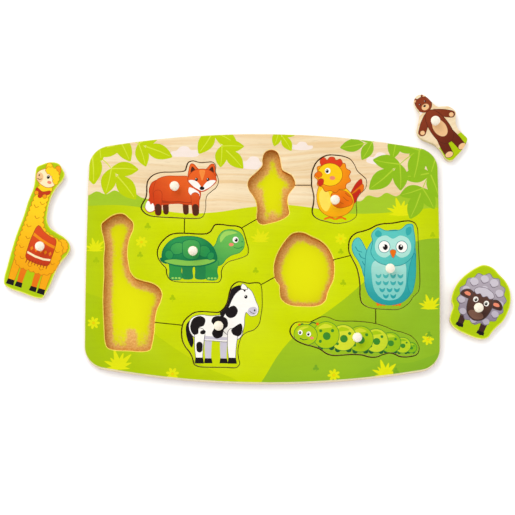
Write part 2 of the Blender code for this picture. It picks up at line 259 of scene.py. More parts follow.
def leaf(art, x, y, length, turn, wide=0.42, body="leaf", rib="leaf_rib"):
    """A pointed oval leaf with a midrib, from its stalk end."""
    c, s = math.cos(math.radians(turn)), math.sin(math.radians(turn))
    place = lambda pts: [(x + length * (u * c - v * s), y + length * (u * s + v * c)) for u, v in pts]
    half = [(0.10, 0.45), (0.30, 0.88), (0.50, 1.0), (0.72, 0.78), (0.90, 0.36)]
    pts = [(0, 0)] + [(u, v * wide / 2) for u, v in half] + [(1.0, 0)] + [(u, -v * wide / 2) for u, v in half[::-1]]
    art.blob(body, place(pts), steps=3)
    art.stroke(rib, place([(0.02, 0), (0.5, 0.02), (0.9, 0)]), length * 0.05, length * 0.02, steps=2)


def sprig(art, points, leaves, size, body, rib, wide=0.42, spread=50.0):
    """A bough with pairs of leaves along it and one at its tip."""
    path = spline(points, 12, closed=False)
    art.stroke(rib, points, 1.3, 0.6)
    for k in range(leaves):
        u = (k + 0.7) / leaves
        at = path[int(u * (len(path) - 1))]
        ahead = path[min(len(path) - 1, int(u * (len(path) - 1)) + 2)] - path[max(0, int(u * (len(path) - 1)) - 2)]
        along = math.degrees(math.atan2(ahead[1], ahead[0]))
        grow = size * (1.0 - 0.35 * u)
        leaf(art, at[0], at[1], grow, along + spread, wide, body, rib)
        leaf(art, at[0], at[1], grow, along - spread, wide, body, rib)
    tip = path[-1] - path[-4]
    leaf(art, path[-1][0], path[-1][1], size * 0.8, math.degrees(math.atan2(tip[1], tip[0])), wide, body, rib)


def daisy(art, x, y, r, petals=7, petal="tuft", heart="tuft_deep", turn=0.0):
    for k in range(petals):
        a = turn + 360.0 * k / petals
        art.oval(petal, x + 0.62 * r * math.cos(math.radians(a)), y + 0.62 * r * math.sin(math.radians(a)),
                 0.42 * r, 0.24 * r, a, sides=10)
    art.oval(heart, x, y, 0.24 * r, sides=10)


def tuft(art, x, y, size, colour="tuft"):
    """Bent, pointed blades of grass that grow from one place."""
    for lean, tall, bend in ((-72, 0.60, -0.28), (-50, 0.80, -0.22), (-30, 0.70, -0.14), (-11, 1.0, -0.07), (10, 0.82, 0.08), (29, 0.94, 0.18), (50, 0.68, 0.24), (72, 0.52, 0.30)):
        a = math.radians(90 - lean)
        along, across = np.array([math.cos(a), math.sin(a)]), np.array([math.sin(a), -math.cos(a)])
        place = lambda u, v: tuple(np.array([x, y]) + size * tall * (u * along + (v + bend * u * u) * across))
        art.blob(colour, [place(0, -0.06), place(0.35, -0.13), place(0.7, -0.10), place(1.0, 0), place(0.7, 0.10), place(0.35, 0.13), place(0, 0.06)], steps=3)


def clover(art, x, y, r, colour="lime_deep", turn=90.0):
    for k in range(3):
        a = math.radians(turn + 120 * k)
        art.oval(colour, x + 0.5 * r * math.cos(a), y + 0.5 * r * math.sin(a), 0.5 * r, 0.42 * r, turn + 120 * k, sides=12)
    art.stroke(colour, [(x, y), (x + 0.15 * r, y - 0.7 * r), (x - 0.1 * r, y - 1.2 * r)], 0.22 * r, 0.12 * r, steps=2)


def background():
    """Meadow, hills, sky of bare wood, clouds and boughs, across board and pieces."""
    art = Print()
    # clouds on the bare wood
    art.blob("cloud", [(-80, 88), (-79, 91.5), (-74.5, 92.5), (-71, 96), (-65, 96), (-62, 93), (-57, 93), (-55, 90), (-57, 87.5), (-68, 87)])
    art.blob("cloud", [(-22, 79), (-20, 83), (-15, 83.5), (-11, 87.5), (-5, 87), (-2.5, 83), (1.5, 82.5), (3, 79.5), (0, 77), (-12, 76.5)])
    art.blob("cloud", [(88, 84), (89.5, 88), (94, 88), (98, 92), (104, 91), (106.5, 87), (111, 86.5), (112, 83.5), (108, 81.5), (95, 81.5)])
    art.blob("cloud", [(22, 96), (24, 98.5), (28, 98.5), (31, 101), (36, 100.5), (38, 98), (42, 97.5), (42, 95.5), (38, 94), (27, 94)])
    # far hedge, then the meadow
    art.blob("hedge", [(-170, 20), (-170, 50), (-150, 52), (-142, 56), (-134, 53.5), (-127, 57), (-119, 54), (-112, 56), (-104, 51), (-97, 49), (-90, 44), (-84, 36), (-100, 24)])
    art.blob("hedge", [(52, 30), (60, 40), (68, 44), (75, 49.5), (83, 49), (89, 54), (98, 52.5), (105, 56.5), (113, 53.5), (120, 57), (128, 54), (135, 57.5), (143, 54), (152, 56), (170, 54), (170, 20), (100, 15)])
    art.blob("lime", [(-170, 41), (-145, 43.5), (-120, 44), (-95, 41), (-68, 37.5), (-40, 38.5), (-12, 43), (15, 45.5),
                      (42, 43), (70, 38.5), (98, 38.5), (125, 41.5), (150, 44), (175, 44), (200, 0), (180, -130), (0, -150), (-180, -130), (-200, 0)], steps=8)
    # low rise at the left, darker hill at the right
    art.blob("lime_low", [(-190, -28), (-150, -32), (-125, -42), (-100, -60), (-72, -80), (-45, -96), (-15, -112), (-20, -150), (-190, -150)], steps=8)
    art.blob("hill", [(-8, -125), (4, -100), (18, -78), (36, -60), (56, -46), (76, -30), (94, -12), (112, 6), (132, 15), (160, 16), (200, 0), (190, -150), (10, -150)], steps=8)
    art.blob("hill_low", [(62, -125), (70, -108), (86, -96), (104, -90), (124, -90), (142, -84), (165, -76), (190, -150), (70, -150)], steps=8)
    # tufts and clovers
    for x, y, size in ((-120, -97, 17.0), (103, -102, 15.0), (-2, 13, 12.0), (117, 37, 16.0), (141, -44, 13.0), (-142, 4, 12.0)):
        tuft(art, x, y, size)
    for x, y, r, turn in ((-142, -58, 5.2, 0), (-103, 12, 5.0, 5), (60, -101, 5.2, 30), (139, -70, 5.0, 0),
                          (-75, -101, 5.4, 12), (66, 16, 5.0, 8)):
        daisy(art, x, y, r, turn=turn)
    for x, y, r, colour in ((-98, 26, 3.0, "lime_deep"), (-6, -12, 2.8, "lime_deep"), (-104, 1, 2.8, "lime_deep"),
                            (68, -22, 2.8, "lime_deep"), (112, -97, 2.8, "hill_deep"), (140, -66, 2.8, "hill_deep"), (-141, -4, 3.0, "lime_deep"),
                            (45, -95, 2.8, "hill_deep"), (-76, -36, 2.8, "lime_deep"), (66, 5, 2.6, "lime_deep"), (144, 20, 2.6, "lime_deep")):
        clover(art, x, y, r, colour)
    # boughs from the upper corners
    sprig(art, [(-160, 100), (-147, 91), (-135, 82), (-125, 70)], 2, 33, "leaf_left", "leaf_left_rib", 0.56)
    sprig(art, [(-156, 118), (-138, 108), (-119, 103), (-101, 96)], 3, 31, "leaf_left", "leaf_left_rib", 0.54)
    sprig(art, [(-44, 120), (-43, 110), (-39, 101), (-32, 93)], 2, 27, "leaf_left", "leaf_left_rib", 0.56, 46)
    sprig(art, [(10, 121), (12, 113), (16, 106)], 1, 19, "leaf_left", "leaf_left_rib", 0.56, 46)
    sprig(art, [(160, 92), (148, 82), (140, 70), (134, 56)], 3, 30, "leaf", "leaf_rib", 0.56)
    sprig(art, [(162, 108), (145, 100), (128, 91), (111, 77)], 3, 34, "leaf", "leaf_rib", 0.56)
    sprig(art, [(128, 120), (114, 109), (100, 103), (86, 100)], 2, 26, "leaf", "leaf_rib", 0.54)
    return art


# ---------------------------------------------------------------- the nine animals
def face_dots(art, x, y, gap, r=1.0):
    for side in (-1, 1):
        art.oval("ink", x + side * gap, y, r, r * 1.15, sides=12)
        art.oval("white", x + side * gap - 0.3 * r, y + 0.4 * r, 0.33 * r, sides=8)


def fox():
    art = Print()
    art.blob("fox", [(-90, 66), (-95, 64), (-97.5, 58), (-97, 51), (-99.5, 46), (-100.5, 41.5), (-97.5, 38.2), (-93, 39.5), (-90.5, 45), (-89, 52), (-85, 58)], "fox_deep")
    art.blob("white", [(-98.6, 48), (-100.2, 45), (-100.4, 41.5), (-97.5, 38.5), (-93.2, 39.7), (-91.2, 43.8), (-93, 43.6), (-94.3, 46), (-96, 44.8), (-97.3, 47.4)])
    for x, top, low in ((-66.5, 50, 38.3), (-83.5, 50, 38.3)):
        art.stroke("fox_deep", [(x, top), (x + 0.4, low)], 6.0, 4.4)
        art.stroke("brown_deep", [(x + 0.3, low + 4.5), (x + 0.6, low)], 5.0, 4.6)
    art.blob("fox", [(-93.5, 60), (-91, 66.5), (-84, 69.5), (-74, 69.8), (-65, 69.5), (-58, 66), (-54.5, 59), (-54, 52), (-56.5, 46.8), (-63, 45),
                     (-72, 46), (-80, 45.6), (-87, 45), (-92, 48), (-94, 54)], "fox_deep")
    art.blob("fox_deep", [(-89, 49), (-80, 47.6), (-72, 48), (-64, 47), (-58, 48.6), (-62, 46.2), (-72, 46.8), (-80, 46.4), (-86, 46.2)])
    art.blob("white", [(-63.5, 60), (-58, 58), (-54.8, 55), (-54.6, 51), (-57, 47.6), (-60.5, 47.5), (-61, 52), (-63.8, 55.5)])
    for x, top, low in ((-58.3, 52, 37.8), (-90.2, 54, 37.8)):
        art.stroke("fox", [(x, top), (x + 0.6, low)], 7.0, 4.8, line="fox_deep")
        art.stroke("brown_deep", [(x + 0.3, low + 5), (x + 0.9, low)], 5.4, 5.2)
    since = len(art.shapes)
    art.blob("fox", [(-64, 69.5), (-63.7, 76), (-62.2, 80.6), (-60, 80.4), (-57, 77), (-54, 74)], "fox_deep")
    art.blob("brown_deep", [(-62.2, 73), (-62, 77), (-61.2, 78.6), (-59, 76.4), (-57.8, 74.4)])
    art.mirror(-52.6, since)
    art.blob("fox", [(-64.6, 66), (-62.5, 72.2), (-57.6, 75.6), (-52.6, 76.2), (-47.6, 75.6), (-42.7, 72.2), (-40.6, 66), (-45.4, 60.6), (-52.6, 56.6), (-59.8, 60.6)], "fox_deep")
    since = len(art.shapes)
    art.blob("white", [(-64.2, 66), (-60.6, 66.6), (-57, 65.2), (-54.5, 62.5), (-53, 59.6), (-52.6, 57.2), (-56.5, 58.8), (-60, 61)])
    art.mirror(-52.6, since)
    art.blob("fox_light", [(-55, 75), (-52.6, 75.6), (-50.2, 75), (-51.4, 69), (-52.6, 66), (-53.8, 69)])
    art.oval("ink", -52.6, 59.4, 2.1, 1.6)
    face_dots(art, -52.6, 67.2, 4.9, 1.25)
    return art


def tortoise():
    art = Print()
    art.blob("shell_deep", [(-84, -1), (-87.2, -1.5), (-86.6, -4), (-82, -6.5), (-78, -4)])
    for x in (-63.5, -52.5):
        art.blob("skin_deep", [(x - 4.6, -5), (x - 4.8, -13), (x - 5, -18.3), (x - 3.5, -19.6), (x + 3.4, -19.6), (x + 4.6, -18.2), (x + 4, -12), (x + 4.6, -5)])
    art.blob("skin", [(-46, 2), (-40, 11), (-37.5, 18), (-33, 22.6), (-26, 23.4), (-19.6, 20.6), (-16.4, 14.5), (-16.6, 8), (-20.5, 3.6), (-26.5, 1.6),
                      (-31, -1.5), (-35, -6.5), (-42, -8)], "skin_deep")
    art.blob("skin_light", [(-36.5, 17), (-33, 21.5), (-27, 22.4), (-22, 20.8), (-26, 19.6), (-31.5, 17.8), (-36, 12.5)])
    for x in (-73.6, -43.2):
        art.blob("skin", [(x - 4.9, -4), (x - 5.1, -13), (x - 5.2, -18.2), (x - 3.6, -19.8), (x + 3.6, -19.8), (x + 5, -18.2), (x + 4.2, -12), (x + 5, -4)], "skin_deep")
        for k in (-2.6, 0.2, 3.0):
            art.oval("skin_light", x + k, -18.8, 1.1, 0.9, sides=10)
    art.blob("shell", [(-84.5, -3), (-85, 4), (-81, 11), (-74, 15.8), (-64, 17.2), (-54, 16.2), (-46, 12), (-41, 5), (-39.5, -3), (-48, -7.2), (-62, -8.6), (-76, -7.4)], "shell_deep", 0.6)
    art.blob("shell_light", [(-83.5, -4), (-76, -2.6), (-62, -3.8), (-48, -2.4), (-40.4, -3), (-48, -6.6), (-62, -8), (-76, -6.8)])
    for x, y, rx, ry, t in ((-72.5, 6.8, 6.2, 5.0, 18), (-50, 4.6, 5.2, 4.8, -22)):
        art.oval("shell_mid", x, y, rx, ry, t, "shell_deep", 0.5, sides=12)
    art.blob("shell_mid", [(-67.5, 12.6), (-60, 14.4), (-54.5, 12.2), (-53.6, 5), (-55.5, -1.4), (-63, -2), (-67, 0.4), (-68, 6)], "shell_deep", 0.5)
    art.oval("shell_mid", -79.6, 1.4, 3.2, 3.8, 20, "shell_deep", 0.5)
    art.oval("shell_mid", -44.3, 0.6, 2.6, 3.2, -30, "shell_deep", 0.5)
    art.oval("white", -23.4, 14.8, 2.5, 2.7)
    art.oval("ink", -22.8, 14.6, 1.35, 1.6)
    art.oval("white", -23.3, 15.4, 0.45, sides=8)
    art.stroke("skin_deep", [(-17.4, 8.8), (-20.6, 7.4), (-24.6, 8)], 0.7, 0.5)
    art.oval("skin_deep", -17.8, 13.2, 0.5, 0.7, sides=8)
    art.oval("blush", -27, 10.6, 2.1, 1.5)
    return art


def pony():
    art = Print()
    art.blob("ink", [(-60, -54.5), (-64, -58.5), (-64.4, -66), (-62.6, -73), (-59.4, -78.4), (-58, -74), (-58.6, -68), (-57, -61)])
    for x in (-45.5, -32.6):
        art.stroke("pony_shade", [(x, -68), (x - 0.3, -80), (x, -89)], 6.4, 4.6)
        art.patch("ink", [(x - 2.8, -87.4), (x + 2.8, -87.4), (x + 3.6, -91.6), (x - 3.4, -91.6)])
    art.blob("white", [(-62, -60), (-59.4, -53), (-52, -50.6), (-43, -51.4), (-35, -50.5), (-25, -51), (-18, -56), (-16.5, -63), (-19.5, -70), (-28, -73),
                       (-41, -72.4), (-52, -71.6), (-59, -68)], "ink_soft")
    art.blob("white", [(-27, -31), (-22, -26.6), (-15, -26), (-9.6, -30), (-6.2, -38), (-3.8, -44.6), (-5.4, -50), (-10.4, -50.8), (-14, -47.8),
                       (-15.4, -52), (-15.8, -60), (-20, -68), (-31, -66), (-35.5, -56), (-33, -44)], "ink_soft")
    art.blob("pony_shade", [(-54, -70.6), (-42, -71.4), (-29, -71.8), (-21, -69), (-30, -69.4), (-42, -68.8), (-54, -68.4)])
    for x in (-53.4, -25.8):
        art.stroke("white", [(x + 0.6, -66), (x, -78), (x + 0.4, -88)], 8.4, 5.2, line="ink_soft")
        art.patch("ink", [(x - 2.8, -86.8), (x + 3.4, -86.8), (x + 4.4, -91.8), (x - 3.4, -91.8)])
    # dark patches of the coat
    art.blob("ink", [(-61, -61), (-58.6, -53.8), (-52.6, -51.4), (-48.4, -54), (-49.5, -59.4), (-53.6, -61.6), (-54.4, -66.6), (-58.2, -67.2)])
    art.blob("ink", [(-41.5, -52.2), (-35.6, -51.2), (-30.4, -53.6), (-29.4, -59.6), (-32.6, -63), (-34.2, -68.8), (-39.4, -70.4), (-42.6, -66.2), (-40.4, -60.4), (-43.2, -56)])
    art.blob("ink", [(-23.6, -60.4), (-18.4, -57.6), (-17, -62.2), (-19.6, -68.2), (-24.6, -67.2), (-26.4, -63.2)])
    art.blob("ink", [(-28.6, -44), (-24, -42.4), (-21, -46.4), (-23.4, -51.6), (-28.2, -52.8), (-31.6, -49)])
    art.oval("ink", -50.2, -65.2, 2.4, 1.8, 20)
    art.stroke("ink", [(-53.0, -76), (-52.9, -80)], 5.4, 5.0)
    # mane, ear, face
    art.blob("ink", [(-19.6, -24.8), (-24.6, -26.4), (-29.2, -31), (-31.4, -37), (-34.6, -42), (-36.2, -49), (-34, -53), (-30.8, -47.6), (-28, -42.4), (-25.6, -36.6), (-22.6, -31.8), (-17.6, -28.4), (-15.2, -30.4), (-14.8, -26.8)])
    art.blob("white", [(-18.2, -27.4), (-17.4, -23.8), (-15.6, -24.2), (-13.2, -28)], "ink_soft")
    art.blob("pony_shade", [(-6.6, -43.4), (-4.8, -45.4), (-5.8, -49.4), (-10.2, -50.2), (-12.8, -47.8), (-11.2, -44.2)])
    art.oval("ink", -6.9, -46.2, 0.7, 1.0, sides=8)
    art.oval("ink", -14.4, -34.6, 1.35, 1.6)
    art.oval("white", -14.8, -34, 0.45, sides=8)
    art.stroke("ink_soft", [(-7.2, -49), (-9.6, -48.2), (-11, -46.8)], 0.55, 0.45, steps=3)
    return art


def hen():
    art = Print()
    for k, (x, y, t) in enumerate(((82.6, 66.6, 58), (83.8, 62.2, 32), (81.2, 57.8, 8))):
        art.blob("hen_red" if k != 1 else "orange", [(66, 48), (72, 53), (x - 3, y - 1), (x + 0.6, y + 1.8), (x + 1.2, y - 2.4), (75, 46)], "hen_deep")
    for x in (56.5, 66):
        art.stroke("orange_deep", [(x, 40), (x, 34.6)], 1.9)
        art.stroke("orange_deep", [(x - 4.4, 33.4), (x, 34.8), (x + 3.6, 33.4)], 1.7, steps=3)
    art.blob("yellow", [(45.5, 50), (46, 58), (49, 65), (56, 68), (64, 65), (70, 60.5), (75.5, 54), (76.4, 46), (72, 39), (64, 35.6), (55.5, 36), (48.5, 41)], "hen_deep")
    art.blob("yellow_light", [(47.6, 49), (48, 57), (52, 60.5), (56, 55), (57, 46), (53.5, 40), (50, 42.6)])
    art.blob("orange", [(58, 55), (63, 58.5), (70, 57.4), (75, 51.5), (75.2, 47), (70, 44.2), (63.5, 43.4), (58.6, 47)], "hen_deep")
    for x, y in ((66, 47.6), (70.6, 50), (72.4, 53.6)):
        art.stroke("hen_deep", [(x - 2.6, y + 2.6), (x, y), (x + 1.8, y - 0.6)], 0.6, 0.5, steps=3)
    # hackle feathers round the neck, then the head
    pts = []
    for k in range(22):
        a = 2 * math.pi * k / 22
        r = 1.0 if k % 2 else 0.86
        pts.append((59 + 15.6 * r * math.cos(a), 71 + 14.6 * r * math.sin(a)))
    art.blob("orange", pts, "hen_deep", 0.5, steps=4)
    art.blob("hen_red", [(49, 81), (48.6, 86), (51.6, 87.2), (54, 84.8), (56.6, 87.6), (60, 87.4), (61.4, 84.6), (65, 86), (67, 83), (65, 79.4), (57, 78)], "hen_deep")
    art.oval("yellow", 56.6, 72.4, 10.4, 9.8, 0, "hen_deep")
    art.blob("orange_deep", [(47.6, 75), (43.6, 72.4), (47.4, 69.8), (49.8, 72.2)], "hen_deep", 0.35)
    art.blob("hen_red", [(48, 68.6), (46.2, 65), (48, 62.4), (50.6, 64.2), (50.8, 68)], "hen_deep", 0.35)
    art.oval("white", 54.6, 75.6, 2.4, 2.6)
    art.oval("ink", 54.1, 75.4, 1.35, 1.6)
    art.oval("white", 53.8, 76, 0.45, sides=8)
    art.oval("blush", 58.6, 69.4, 2.4, 1.8)
    return art


def owl():
    art = Print()
    for x in (99.5, 112.5):
        for k in (-2.6, 0, 2.6):
            art.oval("orange_deep", x + k, -39.6, 1.4, 2.1, sides=10)
    # raised wing at the left, folded wing at the right
    art.blob("teal", [(92, -4), (86.5, 8), (81, 17), (77.4, 15.4), (75.4, 9.4), (77, 3), (80.6, -2.6), (83.5, -9), (86, -17), (91, -22)], "teal_deep", 0.5)
    for x, y in ((80.2, 6), (83.2, 0.2), (86, -6.6)):
        art.stroke("teal_deep", [(x - 2, y + 3.2), (x, y), (x + 3.4, y - 1.2)], 0.7, 0.5, steps=3)
    art.blob("teal", [(88, 6), (86.5, -6), (86, -20), (88.8, -31), (95.5, -38), (106, -40.4), (116.5, -38.4), (123.8, -32), (127.4, -22), (128.6, -8), (128.6, 8), (124, 20), (110, 24), (96, 18)], "teal_deep", 0.5)
    art.blob("teal_pale", [(93, -4), (92, -18), (94.6, -29), (101, -35.6), (108, -36.6), (114.6, -34.4), (119.6, -27), (121, -16), (119.6, -4), (107, 0)])
    for row, y in enumerate((-15.6, -21.6, -27.6, -33)):
        count = (4, 4, 3, 2)[row]
        for k in range(count):
            x = 106.8 + (k - (count - 1) / 2) * 6.2
            art.blob("teal", [(x - 2.3, y + 1.6), (x - 1.9, y - 1), (x, y - 2.2), (x + 1.9, y - 1), (x + 2.3, y + 1.6), (x, y + 0.4)])
    art.blob("teal_mid", [(128.2, 4), (125, -4), (123, -14), (122.4, -24), (125, -30.6), (127.8, -22), (129, -10)], "teal_deep", 0.4)
    # head with tufts
    art.blob("teal", [(93, 14), (92, 20), (95.6, 25), (97.5, 26), (103, 23.6), (110, 23.4), (117, 24.6), (122, 28.8), (126.4, 29), (127.4, 24), (128.6, 14), (126.4, 2),
                      (118, -5.5), (107.5, -6.6), (97, -3.4), (91.6, 4)], "teal_deep", 0.5)
    art.blob("teal_mid", [(121, 24.8), (123.4, 27), (125.4, 27), (125.6, 22), (122, 19.4)])
    art.blob("teal_mid", [(96, 18.4), (94.6, 21), (97.2, 24), (100.4, 21.6), (99.6, 18)])
    art.blob("teal_pale", [(110, 16.6), (104, 19.4), (97.4, 17), (94.6, 10), (97, 2.8), (103.4, 0.2), (110, 4), (116.6, 0.2), (123, 2.8), (125.4, 10), (122.6, 17), (116, 19.4)])
    for x in (102.6, 117.4):
        art.oval("white", x, 9.6, 4.6, 4.9, 0, "teal_deep", 0.5)
        art.oval("ink", x + (110 - x) * 0.12, 9.2, 2.1, 2.5)
        art.oval("white", x - 0.4, 10.4, 0.75, sides=8)
    art.blob("orange_deep", [(107.6, 6), (110, 7.2), (112.4, 6), (111.4, 2.2), (110, 0), (108.6, 2.2)], "teal_deep", 0.35)
    return art


def grub():
    art = Print()
    segments = ((124.6, -77.4, 4.6, 4.2), (117.4, -75.4, 6.8, 6.4), (107.2, -73.2, 8.6, 8.4), (95.2, -71.6, 9.8, 9.8), (82, -70.4, 10.6, 10.8),
                (67.6, -69.4, 10.8, 10.8), (53.2, -67.2, 10.8, 11.2))
    for k, (x, y, rx, ry) in enumerate(segments):
        for s in (-0.42, 0.42):
            art.oval("grub_foot", x + s * rx, y - ry * 0.93, rx * 0.2 + 0.3, ry * 0.18 + 0.5, sides=12)
        body, spot = (("grub", "grub_light"), ("grub_light", "grub"))[k % 2]
        art.oval(body, x, y, rx, ry, -8, "grub_deep", 0.5)
        art.blob(spot, [(x - rx * 0.62, y + ry * 0.5), (x - rx * 0.1, y + ry * 0.86), (x + rx * 0.5, y + ry * 0.62), (x, y + ry * 0.52)], steps=3)
        art.oval("grub_deep", x + rx * 0.05, y - ry * 0.08, rx * 0.30, ry * 0.30, 10)
        art.oval("grub_deep", x - rx * 0.42, y + ry * 0.32, rx * 0.12, ry * 0.12, sides=10)
        art.oval("grub_deep", x + rx * 0.5, y + ry * 0.34, rx * 0.13, ry * 0.13, sides=10)
        art.oval("grub_deep", x - rx * 0.45, y - ry * 0.48, rx * 0.12, ry * 0.12, sides=10)
    art.stroke("grub_foot", [(38, -59), (42, -56.6), (45.4, -57.6)], 0.9)
    art.stroke("grub_foot", [(34, -59), (33.6, -57.8), (31.4, -58.4)], 0.9)
    art.oval("orange_deep", 46, -57.8, 1.3)
    art.oval("orange_deep", 30.8, -58.8, 1.2)
    art.oval("grub", 36, -67, 9.6, 8.6, -10, "grub_deep", 0.5)
    art.blob("grub_light", [(28.6, -64), (33, -60.4), (39, -60.2), (35, -62), (31, -64.6)], steps=3)
    for x, y in ((31.6, -65.2), (38.6, -66.4)):
        art.oval("white", x, y, 1.9, 2.1)
        art.oval("ink", x - 0.3, y - 0.1, 1.05, 1.3)
        art.oval("white", x - 0.6, y + 0.4, 0.36, sides=8)
    art.stroke("grub_foot", [(31.4, -70), (34.4, -71.4), (37.6, -70.8)], 0.7, 0.5, steps=3)
    art.oval("blush", 41.2, -69.8, 1.7, 1.2)
    return art


def llama():
    art = Print()
    art.fluffy("wool", [(-96, -27), (-91.6, -27.6), (-89, -31), (-89.2, -36), (-92, -38.4), (-96, -34)], 3.0, "llama_deep")
    for x in (-117.4, -104.6):
        art.stroke("amber", [(x, -55), (x - 0.3, -66), (x, -73)], 6.0, 4.6)
        art.patch("ink", [(x - 2.7, -72.6), (x + 2.6, -72.6), (x + 3, -76.8), (x - 3.2, -76.8)])
    for x in (-124.8, -97.4):
        art.stroke("wool", [(x, -52), (x - 0.2, -64), (x, -73)], 7.0, 5.0, line="llama_deep")
        art.patch("ink", [(x - 3, -72.4), (x + 2.8, -72.4), (x + 3.3, -77), (x - 3.4, -77)])
    body = [(-128.4, 12), (-128.8, -4), (-129.2, -20), (-129.4, -36), (-128.6, -50), (-123.6, -58.4), (-112, -59.6), (-100, -59.4), (-93.4, -55), (-92, -45), (-92.6, -35),
            (-96, -30), (-103, -27.6), (-111.4, -24.6), (-116.6, -16.6), (-118.6, -4), (-119, 8), (-118.6, 18), (-123, 22), (-127.6, 18)]
    art.fluffy("wool", body, 4.6, "llama_deep", 0.5)
    for x, y in ((-125.4, -6), (-121.8, -15), (-126, -24), (-123.4, -34), (-126, -43), (-122.4, -52), (-95.8, -38), (-96.4, -49), (-114, -56.4), (-104, -56.4), (-123.6, 5), (-121.4, -2)):
        art.stroke("llama_deep", [(x - 2, y + 0.8), (x, y - 0.9), (x + 2, y + 0.6)], 0.65, 0.5, steps=3)
    # striped saddle blanket with a fringe
    art.blob("russet", [(-118, -21.4), (-112, -25), (-106, -27.4), (-100.2, -28.8), (-98.8, -36), (-98.8, -44), (-99.4, -51.4), (-105, -52.8), (-112, -52.6), (-119, -50.8), (-120.2, -42), (-120, -31)], "russet_deep", 0.5)
    art.patch("amber", [(-119.6, -28.2), (-112, -31), (-105, -33), (-98.9, -34), (-98.8, -36.4), (-105, -35.4), (-112, -33.4), (-119.8, -30.6)])
    art.patch("cream", [(-119.9, -45), (-112, -46.6), (-105, -46.9), (-98.9, -45.8), (-98.9, -47.6), (-105, -48.7), (-112, -48.4), (-119.6, -46.8)])
    for k in range(5):
        x = -117.2 + 4.1 * k
        art.patch("amber", [(x - 1.4, -41.6), (x, -39.6), (x + 1.4, -41.6), (x, -43.6)])
    for k in range(8):
        x = -118 + 2.6 * k
        art.stroke("russet_deep", [(x, -51.6), (x - 0.1, -54.8)], 0.9, 0.7, steps=2)
    # collar with woollen balls
    art.blob("russet", [(-130.2, 9.8), (-124.6, 7.8), (-118.4, 10.4), (-118.2, 7.8), (-124.4, 5), (-130.4, 7.2)], "russet_deep", 0.35)
    for x, y, c in ((-129.2, 5.6, "amber"), (-125.4, 3.8, "russet"), (-121.4, 4.6, "amber")):
        art.oval(c, x, y, 1.7, 1.7, 0, "russet_deep", 0.3)
    # head, looking left
    art.blob("amber", [(-120.4, 26), (-120, 32.6), (-117.6, 33.4), (-115.6, 29.4), (-116.6, 24.6)], "llama_deep")
    art.blob("wool", [(-127.4, 27), (-128.2, 32.8), (-125.6, 33.6), (-122.4, 29)], "llama_deep")
    art.blob("cream", [(-134, 22), (-131.4, 25.8), (-126.6, 28.4), (-121.4, 28), (-117, 24.8), (-115.8, 19.8), (-117.8, 15), (-122, 12.8), (-127.8, 13.8), (-132.8, 17.2)], "llama_deep", 0.5)
    art.fluffy("wool", [(-126.8, 25.4), (-122, 24.6), (-118.4, 20), (-116.8, 16.4), (-115.2, 20), (-116, 25.6), (-120, 29.6), (-124.6, 30.2), (-127.6, 28.4)], 3.2, "llama_deep", 0.4)
    art.blob("tan", [(-133.8, 21.8), (-131.2, 23.4), (-128.4, 21.4), (-127.8, 17.8), (-129.4, 14.8), (-132.8, 17.4)])
    art.oval("ink", -131.9, 20.9, 0.6, 0.8, sides=8)
    art.stroke("brown_deep", [(-132.2, 17.8), (-130.4, 17.4), (-128.8, 18.4)], 0.6, 0.5, steps=3)
    art.oval("ink", -124, 21.6, 1.3, 1.6)
    art.oval("white", -124.4, 22.2, 0.42, sides=8)
    art.oval("blush", -121.6, 17.4, 1.9, 1.3)
    return art


def bear():
    art = Print()
    axis = 6.8
    since = len(art.shapes)
    art.stroke("bear", [(3.4, 72), (-3, 68), (-8.4, 63.4)], 6.6, 5.8, line="bear_deep")
    art.oval("tan", -8.2, 63, 2.0, 1.9)
    art.stroke("bear", [(2.6, 50), (1, 42), (0.4, 36)], 7.6, 6.6, line="bear_deep")
    art.oval("tan", 0.1, 34.6, 3.5, 2.4, -6, "bear_deep")
    art.mirror(axis, since)
    art.blob("bear", [(-1.6, 58), (-0.6, 67), (2.2, 74), (6.8, 77), (11.4, 74), (14.2, 67), (15.2, 58), (14, 49), (10.6, 44.6), (6.8, 43.6), (3, 44.6), (-0.4, 49)], "bear_deep")
    art.oval("tan", 6.8, 58.6, 5.6, 8.4)
    since = len(art.shapes)
    art.oval("bear", 2.4, 89.6, 2.2, 2.2, 0, "bear_deep")
    art.oval("tan", 2.4, 89.6, 1.1, sides=12)
    art.mirror(axis, since)
    art.oval("bear", 6.8, 83.4, 6.9, 6.7, 0, "bear_deep")
    art.oval("tan", 6.8, 80.8, 3.4, 2.7)
    art.oval("ink", 6.8, 81.9, 1.2, 0.9)
    face_dots(art, 6.8, 85.2, 2.7, 0.8)
    return art


